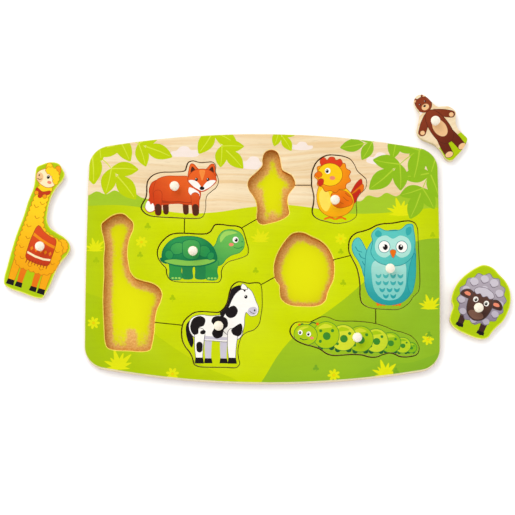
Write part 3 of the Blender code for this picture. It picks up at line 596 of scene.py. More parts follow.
def sheep():
    art = Print()
    for x in (25.8, 44.6):
        art.stroke("fleece_face", [(x, -28), (x, -35.6)], 5.4, 4.8)
        art.patch("ink", [(x - 3, -34.6), (x + 3, -34.6), (x + 3.3, -37.4), (x - 3.3, -37.4)])
    pts = []
    for k in range(28):
        a = 2 * math.pi * k / 28 + 0.1
        r = 1.0 if k % 2 else 0.9
        x, y = math.cos(a), math.sin(a)
        pts.append((35.2 + 20.4 * r * x, -9.6 + (24 if y > 0 else 21.5) * r * y))
    art.blob("fleece", pts, "fleece_deep", 0.5, steps=5)
    for x, y, r in ((24, 3, 4.6), (31.4, 8.4, 4.4), (40, 8.2, 4.6), (47.4, 1.6, 4.4), (51, -7, 4.0), (50.4, -16.6, 4.0), (45.6, -25.4, 3.8), (20.4, -6, 4.2),
                    (19.6, -15.6, 4.0), (24.4, -24.6, 3.8), (35.4, -28.2, 3.6), (34.6, 0.4, 3.6)):
        art.oval("fleece_light", x - 0.3, y + 0.3, r * 0.78, r * 0.7)
        art.stroke("fleece_deep", [(x - r * 0.7, y - r * 0.4), (x, y - r * 0.86), (x + r * 0.78, y - r * 0.2)], 0.6, 0.45, steps=3)
    since = len(art.shapes)
    art.blob("fleece_face", [(27.6, -7), (22.6, -4.6), (17.8, -7.4), (17, -11), (21, -12), (27, -11.4)], "ink_soft")
    art.blob("blush", [(24.6, -7.6), (21.4, -6.8), (19.4, -8.8), (21.8, -10), (25, -9.4)])
    art.mirror(35.3, since)
    art.blob("fleece_face", [(35.3, -1.4), (29, -3), (25.4, -9), (25.4, -17), (28.4, -24.4), (35.3, -27.8), (42.2, -24.4), (45.2, -17), (45.2, -9), (41.6, -3)], "ink_soft", 0.5)
    art.blob("fleece_face_light", [(35.3, -20), (30, -20.6), (28.6, -23), (31, -25.6), (35.3, -26.9), (39.6, -25.6), (42, -23), (40.6, -20.6)])
    art.blob("fleece_light", [(26.6, -3.4), (28.2, -0.6), (31.6, 0.8), (35.3, 1.6), (39, 0.8), (42.4, -0.6), (44, -3.4), (41.2, -5.8), (38.4, -4.4), (35.3, -6.2), (32.2, -4.4), (29.4, -5.8)], "fleece_deep", 0.45)
    for s in (-1, 1):
        art.oval("white", 35.3 + s * 4.8, -10.6, 2.2, 2.4)
        art.oval("ink", 35.3 + s * 4.6, -10.8, 1.25, 1.5)
        art.oval("white", 35.3 + s * 4.6 - 0.4, -10.2, 0.42, sides=8)
    return art


ANIMALS = dict(fox=fox, tortoise=tortoise, pony=pony, hen=hen, owl=owl, grub=grub, llama=llama, bear=bear, sheep=sheep)


# ---------------------------------------------------------------- outlines
def board_outline():
    """Four bowed sides joined by corner arcs that are tangent to both sides."""
    half_x, half_y = BOARD_LENGTH / 2, BOARD_DEPTH / 2
    side, top = np.array([half_x - SHORT_SIDE_BOW, 0.0]), np.array([0.0, half_y - LONG_SIDE_BOW])
    reach_side, reach_top = SHORT_SIDE_BOW - CORNER_RADIUS, LONG_SIDE_BOW - CORNER_RADIUS
    span = top - side
    length = float(np.hypot(*span))
    along = (reach_side ** 2 - reach_top ** 2 + length ** 2) / (2 * length)
    across = math.sqrt(reach_side ** 2 - along ** 2)
    unit = span / length
    corner = max((side + unit * along + np.array([-unit[1], unit[0]]) * (sign * across) for sign in (1, -1)), key=sum)
    side_angle = math.atan2(*(corner - side)[::-1])
    top_angle = math.atan2(*(corner - top)[::-1])

    def arc(centre, radius, start, end, steps):
        return [centre + radius * np.array([math.cos(a), math.sin(a)])
                for a in (start + (end - start) * k / steps for k in range(steps))]

    quarter = (arc(side, SHORT_SIDE_BOW, 0.0, side_angle, 8) + arc(corner, CORNER_RADIUS, side_angle, top_angle, 24)
               + arc(top, LONG_SIDE_BOW, top_angle, math.pi / 2, 24))
    upper = quarter + [np.array([0.0, half_y])] + [p * (-1, 1) for p in reversed(quarter)]
    return np.array(upper + [p * (1, -1) for p in reversed(upper[1:-1])])


def slit(start, end):
    a, b = np.array(start, float), np.array(end, float)
    along = (b - a) / np.hypot(*(b - a))
    across = np.array([-along[1], along[0]]) * (SAW_CUT / 2)
    return ccw(np.array([a - across, b - across, b + across, a + across]))


# ---------------------------------------------------------------- flat drawing to solid sheet
def inside(points, loop):
    """True for each point that the loop winds round."""
    low, high = loop.min(0), loop.max(0)
    near = np.nonzero(((points > low) & (points < high)).all(1))[0]
    out = np.zeros(len(points), bool)
    if len(near):
        x, y = points[near].T
        wind = np.zeros(len(near), int)
        for a, b in zip(loop, np.roll(loop, -1, 0)):
            side = (b[0] - a[0]) * (y - a[1]) - (x - a[0]) * (b[1] - a[1])
            wind += ((a[1] <= y) & (b[1] > y) & (side > 0)).astype(int)
            wind -= ((a[1] > y) & (b[1] <= y) & (side < 0)).astype(int)
        out[near] = wind != 0
    return out


def tessellate(loops, extra=()):
    """Points and counter-clockwise triangles that keep every loop's edges, and use the extra points."""
    verts, edges = [Vector((float(p[0]), float(p[1]))) for p in extra], []
    for loop in loops:
        first = len(verts)
        verts += [Vector((float(p[0]), float(p[1]))) for p in loop]
        edges += [(first + k, first + (k + 1) % len(loop)) for k in range(len(loop))]
    points, _, faces = delaunay_2d_cdt(verts, edges, [], 0, 1e-4)[:3]
    points = np.array([(p.x, p.y) for p in points])
    tris = np.array([f for f in faces if len(f) == 3])
    a, b, c = points[tris[:, 0]], points[tris[:, 1]], points[tris[:, 2]]
    turn = (b[:, 0] - a[:, 0]) * (c[:, 1] - a[:, 1]) - (b[:, 1] - a[:, 1]) * (c[:, 0] - a[:, 0])
    tris[turn < 0] = tris[turn < 0][:, ::-1]
    return points, tris


def rims(tris):
    """The closed runs of edges that bound these triangles, with the triangles on their left."""
    directed = {(int(t[k]), int(t[(k + 1) % 3])) for t in tris for k in range(3)}
    onward = {}
    for a, b in sorted(directed):
        if (b, a) not in directed:
            onward.setdefault(a, []).append(b)
    runs = []
    while onward:
        start = min(onward)
        run, here = [start], onward[start].pop()
        if not onward[start]:
            del onward[start]
        while here != start:
            run.append(here)
            ahead = onward[here].pop()
            if not onward[here]:
                del onward[here]
            here = ahead
        runs.append(run)
    return runs


def loop_distance(points, loop):
    """How far each point is from the loop's line."""
    a, d = loop, np.roll(loop, -1, 0) - loop
    rel = points[:, None] - a[None]
    t = np.clip((rel * d).sum(2) / np.maximum((d * d).sum(1), 1e-12), 0.0, 1.0)
    return np.sqrt(((rel - t[..., None] * d) ** 2).sum(2)).min(1)


def mitres(loop):
    """Outward direction at each corner, long enough to move both its edges by one."""
    d = np.roll(loop, -1, 0) - loop
    d /= np.maximum(np.hypot(d[:, 0], d[:, 1]), 1e-9)[:, None]
    n = np.stack([d[:, 1], -d[:, 0]], 1)
    m = n + np.roll(n, 1, 0)
    m /= np.maximum(np.hypot(m[:, 0], m[:, 1]), 1e-9)[:, None]
    return m / np.maximum(0.6, np.sum(m * n, 1))[:, None]


class Solid:
    """Faces in millimetres, with a material name and smoothness each."""

    def __init__(self):
        self.verts, self.faces, self.mats, self.smooth = [], [], [], []

    def points(self, xy, z):
        first = len(self.verts)
        self.verts += [(float(p[0]), float(p[1]), float(z)) for p in xy]
        return list(range(first, first + len(xy)))

    def face(self, corners, mat, smooth=False):
        self.faces.append(tuple(int(c) for c in corners))
        self.mats.append(mat)
        self.smooth.append(smooth)

    def band(self, upper, lower, mats, smooth=True):
        n = len(upper)
        for k in range(n):
            self.face((upper[k], lower[k], lower[(k + 1) % n], upper[(k + 1) % n]), mats if isinstance(mats, str) else mats[k], smooth)

    def finish(self, name, x=0.0, y=0.0, z=0.0, turn=0.0, about=(0.0, 0.0), marks=None):
        """Makes the object. A turned piece turns about a point of its drawing, which then lies at x, y.

        Each point keeps its place in the drawing as an attribute, and the finishes follow that.
        """
        drawn = np.array(self.verts) * MM
        c, s = math.cos(math.radians(turn)), math.sin(math.radians(turn))
        u, v = drawn[:, 0] - about[0] * MM, drawn[:, 1] - about[1] * MM
        placed = np.stack([x * MM + u * c - v * s, y * MM + u * s + v * c, z * MM + drawn[:, 2]], 1)
        mesh = bpy.data.meshes.new(name)
        mesh.from_pydata(placed.tolist(), [], self.faces)
        mesh.attributes.new("drawing", "FLOAT_VECTOR", "POINT").data.foreach_set("vector", drawn.astype(np.float32).ravel())
        for label, level in (marks or {}).items():
            found = np.where(drawn[:, 2] > drawn[:, 2].max() - 1e-5, level(drawn[:, :2] / MM), 0.0)
            mesh.attributes.new(label, "FLOAT", "POINT").data.foreach_set("value", found.astype(np.float32))
        names = sorted(set(self.mats))
        for mat in names:
            mesh.materials.append(finish_of(mat))
        mesh.polygons.foreach_set("material_index", [names.index(m) for m in self.mats])
        mesh.polygons.foreach_set("use_smooth", self.smooth)
        mesh.set_sharp_from_angle(angle=math.radians(40))
        mesh.update()
        obj = bpy.data.objects.new(name, mesh)
        bpy.context.scene.collection.objects.link(obj)
        return obj


def sheet(outer, voids, thickness, shapes, bare, edge, under, rounding, low_rounding=0.25, peg=None, extra=(), inked=2):
    """A sheet whose flat top carries the drawing: z runs from 0 to its thickness.

    Each void is (loop, rounding, its rim's finish or None, its wall's finish): where there is no finish for the rim,
    the ink runs on over it. On the outer rim the ink runs on over that many of its four steps.
    """
    solid = Solid()
    low, high = outer.min(0), outer.max(0)
    shapes = [(c, s) for c, s in shapes if (s.max(0) > low).all() and (s.min(0) < high).all()]
    flat = offset(outer, -rounding)
    holes = [offset(v[0], v[1]) for v in voids]
    if peg is not None:
        a = np.arange(32) * 2 * math.pi / 32
        holes.append(np.stack([peg[0] + 2.2 * np.cos(a), peg[1] + 2.2 * np.sin(a)], 1))
    points, tris = tessellate([flat] + holes + [s for _, s in shapes], extra)
    middle = points[tris].mean(1)
    keep = inside(middle, flat)
    for hole in holes:
        keep &= ~inside(middle, hole)
    tris, middle = tris[keep], middle[keep]
    colour = np.array([bare] * len(tris), dtype=object)
    for name, shape in shapes:
        colour[inside(middle, shape)] = name
    used = np.unique(tris)
    top = dict(zip(used.tolist(), solid.points(points[used], thickness)))
    beside = {}
    for t, c in zip(tris, colour):
        solid.face([top[int(k)] for k in t], c)
        for k in range(3):
            beside[int(t[k]), int(t[(k + 1) % 3])] = c

    floor_loops = []
    for run in rims(tris):
        loop = points[run]
        ring = [top[k] for k in run]
        out = mitres(loop)
        if peg is not None and np.hypot(*(loop - np.array(peg)).T).max() < 2.5:
            bottom = solid.points(loop, thickness - 4.4)
            solid.band(ring, bottom, edge)
            middle_point = solid.points([peg], thickness - 4.4)[0]
            for k in range(len(run)):
                solid.face((bottom[k], middle_point, bottom[(k + 1) % len(run)]), edge)
            continue
        outer_run = area(loop) > 0
        inks = [beside[run[k], run[(k + 1) % len(run)]] for k in range(len(run))]
        if outer_run:
            r, steps = np.full((len(run), 1), float(rounding)), 4
        else:
            halfway = (loop + np.roll(loop, -1, 0)) / 2
            near = np.argmin([loop_distance(halfway, hole) for hole in holes[:len(voids)]], axis=0)
            wide = np.array([voids[k][1] for k in near])
            r, steps = np.minimum(wide, np.roll(wide, 1))[:, None], 3
            inks = [voids[k][2] or ink for k, ink in zip(near, inks)]
        for k in range(1, steps + 1):
            angle = math.pi / 2 * k / steps
            heights = thickness - r[:, 0] * (1 - math.cos(angle))
            lower = [solid.points([p], h)[0] for p, h in zip(loop + out * r * math.sin(angle), heights)]
            solid.band(ring, lower, inks if k <= inked or not outer_run else edge)
            ring = lower
        side = edge if outer_run else [voids[k][3] for k in near]
        if outer_run and low_rounding:
            lower = solid.points(loop + out * r, low_rounding)
            solid.band(ring, lower, side)
            ring = lower
            for k in (1, 2):
                angle = math.pi / 4 * k
                lower = solid.points(loop + out * (r - low_rounding * (1 - math.cos(angle))), low_rounding * (1 - math.sin(angle)))
                solid.band(ring, lower, side)
                ring = lower
            last = loop + out * (r - low_rounding)
        else:
            last = loop + out * r
            lower = solid.points(last, 0.0)
            solid.band(ring, lower, side)
            ring = lower
        floor_loops.append((last, ring))
    # the underside, on the same corners as the walls, rounded as vectors are so that no sliver outside a line counts as in
    lines = [l.astype(np.float32).astype(float) for l, _ in floor_loops]
    all_points = np.vstack(lines)
    index = np.concatenate([np.array(r) for _, r in floor_loops])
    where, cap = tessellate(lines)
    cap_middle = where[cap].mean(1)
    count = sum(inside(cap_middle, ccw(l)).astype(int) for l in lines)
    cap = cap[count % 2 == 1]
    nearest = {}
    for k in np.unique(cap).tolist():
        gap = np.hypot(*(all_points - where[k]).T)
        nearest[k] = int(index[int(gap.argmin())])
    for t in cap:
        corners = [nearest[int(k)] for k in t[::-1]]
        if len(set(corners)) == 3:
            solid.face(corners, under)
    return solid


def lathe(profile, sides, mat, steps=3):
    """A turned piece from (radius, height) pairs that start and end on the axis."""
    solid = Solid()
    rings = []
    for radius, height in profile:
        if radius < 1e-6:
            rings.append(solid.points([(0.0, 0.0)], height))
        else:
            a = np.arange(sides) * 2 * math.pi / sides
            rings.append(solid.points(np.stack([radius * np.cos(a), radius * np.sin(a)], 1), height))
    for lower, upper in zip(rings, rings[1:]):
        for k in range(sides):
            corners = [lower[k % len(lower)], lower[(k + 1) % len(lower)], upper[(k + 1) % len(upper)], upper[k % len(upper)]]
            solid.face(list(dict.fromkeys(corners)), mat, True)
    return solid


# ---------------------------------------------------------------- finishes
WHITE_LEVEL = 1.25        # how bright a white sheet comes out under the lights

SRGB = dict(
    wood=(255, 235, 197), cloud=(248, 232, 224), hedge=(165, 200, 40), lime=(205, 219, 0), lime_low=(190, 208, 0), lime_deep=(170, 196, 0), lime_piece=(174, 200, 9), lime_rim=(216, 229, 48),
    hill=(168, 199, 16), hill_low=(150, 189, 28), hill_deep=(116, 166, 36), tuft=(226, 228, 10), tuft_deep=(236, 208, 0),
    leaf=(142, 188, 28), leaf_rib=(176, 208, 50), leaf_left=(190, 209, 0), leaf_left_rib=(214, 226, 60),
    white=(254, 250, 244), ink=(28, 22, 24), ink_soft=(80, 70, 74), blush=(240, 140, 110), cream=(255, 236, 190),
    brown_deep=(84, 40, 22),
    fox=(234, 98, 34), fox_deep=(176, 58, 20), fox_light=(246, 140, 60),
    skin=(104, 186, 84), skin_deep=(34, 130, 72), skin_light=(160, 212, 96), shell=(44, 150, 80), shell_mid=(74, 170, 84), shell_deep=(14, 110, 70), shell_light=(134, 196, 78),
    pony_shade=(206, 200, 214),
    yellow=(252, 206, 20), yellow_light=(255, 226, 90), orange=(246, 152, 18), orange_deep=(236, 112, 16), hen_red=(222, 62, 30), hen_deep=(178, 84, 14),
    teal=(92, 198, 190), teal_deep=(24, 134, 142), teal_mid=(52, 170, 170), teal_pale=(176, 228, 216),
    grub=(176, 204, 16), grub_light=(214, 222, 50), grub_deep=(60, 136, 44), grub_foot=(34, 92, 44),
    wool=(255, 214, 30), amber=(248, 160, 22), llama_deep=(206, 120, 10), russet=(222, 78, 30), russet_deep=(168, 60, 20),
    bear=(142, 60, 32), bear_deep=(86, 36, 22), tan=(244, 196, 142),
    fleece=(176, 166, 178), fleece_light=(206, 198, 210), fleece_deep=(116, 104, 118), fleece_face=(92, 62, 54), fleece_face_light=(124, 88, 74),
)


def linear(rgb):
    """Albedo that comes out as this sRGB colour under the lights."""
    v = [c / 255 for c in rgb]
    return [min(0.88, (c / 12.92 if c <= 0.04045 else ((c + 0.055) / 1.055) ** 2.4) / WHITE_LEVEL) for c in v]


def node(tree, kind, inputs=(), **settings):
    made = tree.nodes.new(kind)
    for key, value in settings.items():
        setattr(made, key, value)
    for key, value in dict(inputs).items():
        if isinstance(value, bpy.types.NodeSocket):
            tree.links.new(value, made.inputs[key])
        else:
            made.inputs[key].default_value = value
    return made


def math_node(tree, operation, a, b=0.0, clamp=False):
    return node(tree, "ShaderNodeMath", {0: a, 1: b}, operation=operation, use_clamp=clamp).outputs[0]


def mixed(tree, factor, a, b, blend="MIX"):
    made = node(tree, "ShaderNodeMix", {0: factor, 6: a, 7: b}, data_type="RGBA", blend_type=blend)
    return made.outputs[2]


def rgba(colour):
    return (*colour, 1.0)


def noise(tree, vector, scale, detail=2.0, roughness=0.5, distortion=0.0):
    """Noise stretched by a different scale on each axis, per metre."""
    place = node(tree, "ShaderNodeMapping", {"Vector": vector, "Scale": scale})
    return node(tree, "ShaderNodeTexNoise", {"Vector": place.outputs[0], "Scale": 1.0, "Detail": detail, "Roughness": roughness,
                                             "Distortion": distortion}).outputs[0]


def stretch(tree, value, low, high, to_low=0.0, to_high=1.0, smooth=True):
    return node(tree, "ShaderNodeMapRange", {0: value, 1: low, 2: high, 3: to_low, 4: to_high},
                interpolation_type="SMOOTHSTEP" if smooth else "LINEAR").outputs[0]


def new_material(name, roughness, specular=0.35):
    mat = bpy.data.materials.new(name)
    mat.use_nodes = True
    tree = mat.node_tree
    shader = tree.nodes["Principled BSDF"]
    shader.inputs["Specular IOR Level"].default_value = specular
    shader.inputs["Roughness"].default_value = roughness
    coords = node(tree, "ShaderNodeAttribute", attribute_name="drawing").outputs["Vector"]
    return mat, tree, shader, coords


def bump(tree, shader, height, strength, distance):
    made = node(tree, "ShaderNodeBump", {"Height": height, "Strength": strength, "Distance": distance})
    tree.links.new(made.outputs[0], shader.inputs["Normal"])


def grain(tree, coords):
    """Plywood figure along X: (streaks, broad bands, pores), each about 0 to 1."""
    wander = noise(tree, coords, (8.0, 18.0, 8.0), 2.0)
    bend = node(tree, "ShaderNodeCombineXYZ", {"Y": math_node(tree, "MULTIPLY", wander, 0.022)}).outputs[0]
    warped = node(tree, "ShaderNodeVectorMath", {0: coords, 1: bend}, operation="ADD").outputs[0]
    streaks = stretch(tree, noise(tree, warped, (9.0, 420.0, 9.0), 4.0, 0.6), 0.32, 0.68)
    bands = math_node(tree, "ADD", math_node(tree, "MULTIPLY", stretch(tree, noise(tree, warped, (5.0, 85.0, 5.0), 2.0), 0.35, 0.65), 0.45),
                      math_node(tree, "MULTIPLY", stretch(tree, noise(tree, warped, (5.0, 210.0, 5.0), 1.0), 0.44, 0.64), 0.55))
    pores = stretch(tree, noise(tree, warped, (130.0, 2600.0, 130.0), 1.0), 0.60, 0.74)
    return streaks, bands, pores


def wood_finish(name, light, dark):
    """Bare, lacquered birch plywood."""
    mat, tree, shader, coords = new_material(name, 0.42)
    streaks, bands, pores = grain(tree, coords)
    amount = math_node(tree, "ADD", math_node(tree, "MULTIPLY", streaks, 0.26), math_node(tree, "MULTIPLY", bands, 0.66), clamp=True)
    base = mixed(tree, amount, rgba(linear(light)), rgba(linear(dark)))
    base = mixed(tree, math_node(tree, "MULTIPLY", pores, 0.30), base, rgba([c * 0.62 for c in linear(dark)]))
    tree.links.new(base, shader.inputs["Base Color"])
    tree.links.new(stretch(tree, streaks, 0.0, 1.0, 0.36, 0.50, False), shader.inputs["Roughness"])
    bump(tree, shader, math_node(tree, "SUBTRACT", math_node(tree, "MULTIPLY", streaks, 0.5), pores), 0.25, 0.00008)
    return mat


def print_finish(name, colour, show=0.5, fade=None):
    """Ink on plywood: the wood's figure shows through faintly, and the ink is a little uneven."""
    mat, tree, shader, coords = new_material(name, 0.40, 0.10)
    streaks, bands, pores = grain(tree, coords)
    ink = [min(0.88, c * 1.10) for c in linear(colour)]
    deep = [c * f for c, f in zip(ink, (0.90, 0.88, 0.80))]
    base = rgba(ink)
    if fade:
        flat = node(tree, "ShaderNodeVectorMath", {0: coords, 1: (1.0, 1.0, 0.0)}, operation="MULTIPLY").outputs[0]
        far = node(tree, "ShaderNodeVectorMath", {0: flat, 1: (fade[1][0] * MM, fade[1][1] * MM, 0.0)}, operation="DISTANCE").outputs["Value"]
        base = mixed(tree, stretch(tree, far, fade[2] * MM, fade[3] * MM), base, rgba([min(0.88, c * 1.10) for c in linear(fade[0])]))
    mottle = stretch(tree, noise(tree, coords, (70.0, 70.0, 70.0), 3.0, 0.6), 0.35, 0.70)
    amount = math_node(tree, "ADD", math_node(tree, "MULTIPLY", streaks, 0.30 * show), math_node(tree, "MULTIPLY", bands, 0.34 * show))
    amount = math_node(tree, "ADD", amount, math_node(tree, "MULTIPLY", mottle, 0.24))
    speckle = stretch(tree, noise(tree, coords, (2400.0, 2400.0, 2400.0), 1.0), 0.55, 0.75)
    amount = math_node(tree, "ADD", amount, math_node(tree, "MULTIPLY", speckle, 0.25), clamp=True)
    shade = mixed(tree, amount, (1.0, 1.0, 1.0, 1.0), rgba([d / max(i, 1e-4) if i > 1e-4 else 1.0 for d, i in zip(deep, ink)]))
    base = mixed(tree, 1.0, base, shade, "MULTIPLY")
    base = mixed(tree, math_node(tree, "MULTIPLY", pores, 0.12), base, rgba([c * 0.5 for c in ink]))
    tree.links.new(base, shader.inputs["Base Color"])
    tree.links.new(stretch(tree, mottle, 0.0, 1.0, 0.35, 0.46, False), shader.inputs["Roughness"])
    bump(tree, shader, math_node(tree, "SUBTRACT", math_node(tree, "MULTIPLY", streaks, 0.4), pores), 0.18, 0.00006)
    return mat


def ply_finish(name, face_ply, cross_ply, glue, bare=None):
    """The sawn edge of 6 mm plywood: five plies and four thin glue lines, by height, and the colour bare above the meadow."""
    mat, tree, shader, coords = new_material(name, 0.62, 0.25)
    wave = noise(tree, coords, (60.0, 60.0, 20.0), 2.0)
    height = node(tree, "ShaderNodeSeparateXYZ", {0: coords}).outputs["Z"]
    height = math_node(tree, "ADD", math_node(tree, "MULTIPLY", height, 1000.0 / SHEET),
                       math_node(tree, "MULTIPLY", math_node(tree, "SUBTRACT", wave, 0.5), 0.035))
    ramp = tree.nodes.new("ShaderNodeValToRGB")
    tree.links.new(height, ramp.inputs[0])
    stops = ramp.color_ramp.elements
    rows = [(0.0, face_ply)]
    for k, at in enumerate((0.2, 0.4, 0.6, 0.8)):
        before, after = (face_ply, cross_ply) if k % 2 == 0 else (cross_ply, face_ply)
        rows += [(at - 0.012, before), (at - 0.004, glue), (at + 0.004, glue), (at + 0.012, after)]
    rows.append((1.0, face_ply))
    stops[0].position, stops[0].color = 0.0, rgba(linear(rows[0][1]))
    stops[1].position, stops[1].color = 1.0, rgba(linear(rows[-1][1]))
    for at, colour in rows[1:-1]:
        stops.new(at).color = rgba(linear(colour))
    fibres = stretch(tree, noise(tree, coords, (260.0, 260.0, 2600.0), 3.0, 0.6), 0.35, 0.70)
    saw = stretch(tree, noise(tree, coords, (1900.0, 1900.0, 45.0), 2.0), 0.40, 0.72)
    shade = mixed(tree, math_node(tree, "ADD", math_node(tree, "MULTIPLY", fibres, 0.5), math_node(tree, "MULTIPLY", saw, 0.45), clamp=True),
                  (1.0, 1.0, 1.0, 1.0), (0.80, 0.74, 0.66, 1.0))
    base = mixed(tree, 1.0, ramp.outputs[0], shade, "MULTIPLY")
    if bare:
        along = node(tree, "ShaderNodeSeparateXYZ", {0: coords}).outputs["Y"]
        base = mixed(tree, stretch(tree, along, 0.047, 0.053), base, rgba(linear(bare)))
    tree.links.new(base, shader.inputs["Base Color"])
    bump(tree, shader, math_node(tree, "ADD", saw, math_node(tree, "MULTIPLY", fibres, 0.5)), 0.30, 0.00008)
    return mat


def raw_finish(name, light, dark, ink=None):
    """Unlacquered fine fibreboard, with ink and a painted shade where their two attributes say; the shade is darker and
    warmer near the recess walls.
    """
    mat, tree, shader, coords = new_material(name, 0.85, 0.12)
    fine = noise(tree, coords, (1500.0, 1500.0, 1500.0), 3.0, 0.65)
    broad = noise(tree, coords, (150.0, 150.0, 150.0), 3.0, 0.55)
    grains = noise(tree, coords, (640.0, 640.0, 640.0), 2.0, 0.6)
    amount = math_node(tree, "ADD", math_node(tree, "MULTIPLY", fine, 0.25), math_node(tree, "MULTIPLY", broad, 0.25))
    amount = stretch(tree, math_node(tree, "ADD", amount, math_node(tree, "MULTIPLY", grains, 0.50)), 0.38, 0.62)
    base = mixed(tree, amount, rgba(linear(light)), rgba(linear(dark)))
    cells = node(tree, "ShaderNodeTexVoronoi", {"Vector": node(tree, "ShaderNodeMapping", {"Vector": coords, "Scale": (430.0, 560.0, 430.0)}).outputs[0],
                                                "Scale": 1.0}).outputs["Distance"]
    flecks = stretch(tree, cells, 0.08, 0.24, 1.0, 0.0)
    base = mixed(tree, math_node(tree, "MULTIPLY", flecks, 0.22), base, rgba([c * 0.60 for c in linear(dark)]))
    if ink:
        # painted shade: the floor is made darker and warmer near the recess walls, where the walls shade it
        wall_shade = node(tree, "ShaderNodeAttribute", attribute_name="painted_shade").outputs["Fac"]
        base = mixed(tree, wall_shade, base, mixed(tree, 1.0, base, (0.96, 0.785, 0.44, 1.0), "MULTIPLY"))
        sprayed = node(tree, "ShaderNodeAttribute", attribute_name="ink").outputs["Fac"]
        patchy = noise(tree, coords, (430.0, 430.0, 430.0), 4.0, 0.72)
        wet = math_node(tree, "ADD", sprayed, math_node(tree, "MULTIPLY", math_node(tree, "SUBTRACT", patchy, 0.5), 0.95))
        base = mixed(tree, stretch(tree, wet, 0.32, 0.90), base, rgba(linear(ink)))
    tree.links.new(base, shader.inputs["Base Color"])
    bump(tree, shader, fine, 0.45, 0.00010)
    return mat


def turned_finish(name, light, dark):
    """Smooth turned wood: fine straight grain on the sides, faint rings at the crown."""
    mat, tree, shader, coords = new_material(name, 0.40, 0.38)
    lines = stretch(tree, noise(tree, coords, (900.0, 420.0, 40.0), 4.0, 0.6), 0.36, 0.66)
    bands = stretch(tree, noise(tree, coords, (260.0, 110.0, 12.0), 2.0), 0.40, 0.62)
    far = node(tree, "ShaderNodeVectorMath", {0: node(tree, "ShaderNodeMapping", {"Vector": coords, "Scale": (1.0, 0.8, 0.0)}).outputs[0],
                                              1: (0.0065, 0.0021, 0.0)}, operation="DISTANCE").outputs["Value"]
    rings = math_node(tree, "SINE", math_node(tree, "ADD", math_node(tree, "MULTIPLY", far, 7800.0), math_node(tree, "MULTIPLY", lines, 2.5)))
    amount = math_node(tree, "ADD", math_node(tree, "MULTIPLY", lines, 0.35), math_node(tree, "MULTIPLY", bands, 0.35))
    amount = math_node(tree, "ADD", amount, stretch(tree, rings, 0.2, 1.0, 0.0, 0.3), clamp=True)
    base = mixed(tree, amount, rgba(linear(light)), rgba(linear(dark)))
    tree.links.new(base, shader.inputs["Base Color"])
    bump(tree, shader, lines, 0.12, 0.00005)
    return mat


# inks that turn into another with the distance from a place: that ink, the place, and where it begins and ends
FADES = dict(
    lime=((168, 194, 6), (10, 10), 90, 205), lime_low=((166, 193, 8), (10, 10), 100, 190), hill=((142, 184, 36), (24, -10), 20, 125),
    hill_low=((132, 178, 38), (24, -10), 60, 150),
    fox=((206, 62, 20), (-66, 76), 12, 42), skin=((46, 148, 70), (-26, 24), 8, 44), shell=((14, 118, 70), (-66, 18), 8, 28),
    shell_mid=((38, 146, 76), (-66, 16), 4, 24), hen_red=((196, 40, 26), (56, 90), 4, 36), orange=((236, 112, 14), (52, 78), 10, 34),
    yellow=((246, 168, 12), (54, 70), 12, 38), wool=((246, 168, 16), (-128, 30), 25, 95), amber=((232, 112, 16), (-120, 30), 30, 110),
    teal=((38, 156, 160), (100, 18), 16, 58), teal_pale=((126, 204, 196), (108, 14), 12, 50), grub=((128, 184, 24), (60, -58), 14, 80),
    grub_light=((176, 206, 30), (60, -58), 14, 80), bear=((104, 38, 22), (4, 84), 6, 46), fleece=((140, 128, 146), (30, 8), 10, 42),
    fleece_light=((184, 174, 190), (30, 8), 10, 42), russet=((196, 56, 24), (-114, -24), 6, 34), fleece_face=((66, 42, 38), (33, -4), 6, 26))
made = {}


def finish_of(name):
    """The material of that name, made when it is first asked for."""
    if name not in made:
        if name == "wood":
            made[name] = wood_finish(name, SRGB["wood"], (241, 202, 144))
        elif name == "under_ply":
            made[name] = wood_finish(name, (236, 208, 164), (214, 174, 124))
        elif name == "frame_edge":
            made[name] = ply_finish(name, (242, 231, 188), (231, 212, 160), (202, 170, 116))
        elif name == "seated_edge":
            # a darker copy of the pieces' sawn plywood edge, for seated pieces: painted shade of the narrow seam
            made[name] = ply_finish(name, (238, 210, 150), (220, 188, 126), (184, 148, 96))
        elif name == "ply_edge":
            made[name] = ply_finish(name, (250, 241, 204), (240, 223, 172), (212, 180, 126))
        elif name == "recess_wall":
            made[name] = ply_finish(name, (214, 128, 26), (184, 100, 18), (120, 62, 10))
        elif name == "seam_wall":
            # a darker, browner copy of the frame's sawn wall for the seams and saw cuts: painted shade of the narrow
            # gaps
            made[name] = ply_finish(name, (172, 116, 48), (144, 92, 34), (98, 62, 24))
        elif name == "sawn_rim":
            made[name] = ply_finish(name, (258, 234, 92), (254, 222, 78), (222, 182, 62), (266, 234, 158))
        elif name == "raw_board":
            made[name] = raw_finish(name, (257, 206, 118), (238, 170, 87), (238, 238, 0))
        elif name == "raw_edge":
            made[name] = raw_finish(name, (232, 216, 196), (208, 190, 170))
        elif name == "peg_wood":
            made[name] = turned_finish(name, (261, 252, 234), (255, 240, 215))
        else:
            made[name] = print_finish(name, SRGB[name], fade=FADES.get(name))
    return made[name]


# ---------------------------------------------------------------- the puzzle
outline = board_outline()
meadow = background()
lines = {name: ccw(spline(spec["line"], SPANS)) for name, spec in PIECES.items()}
walls = {name: offset(lines[name], PIECES[name]["wall"]) for name in PIECES}
drawings = {name: ANIMALS[name]() for name in PIECES}

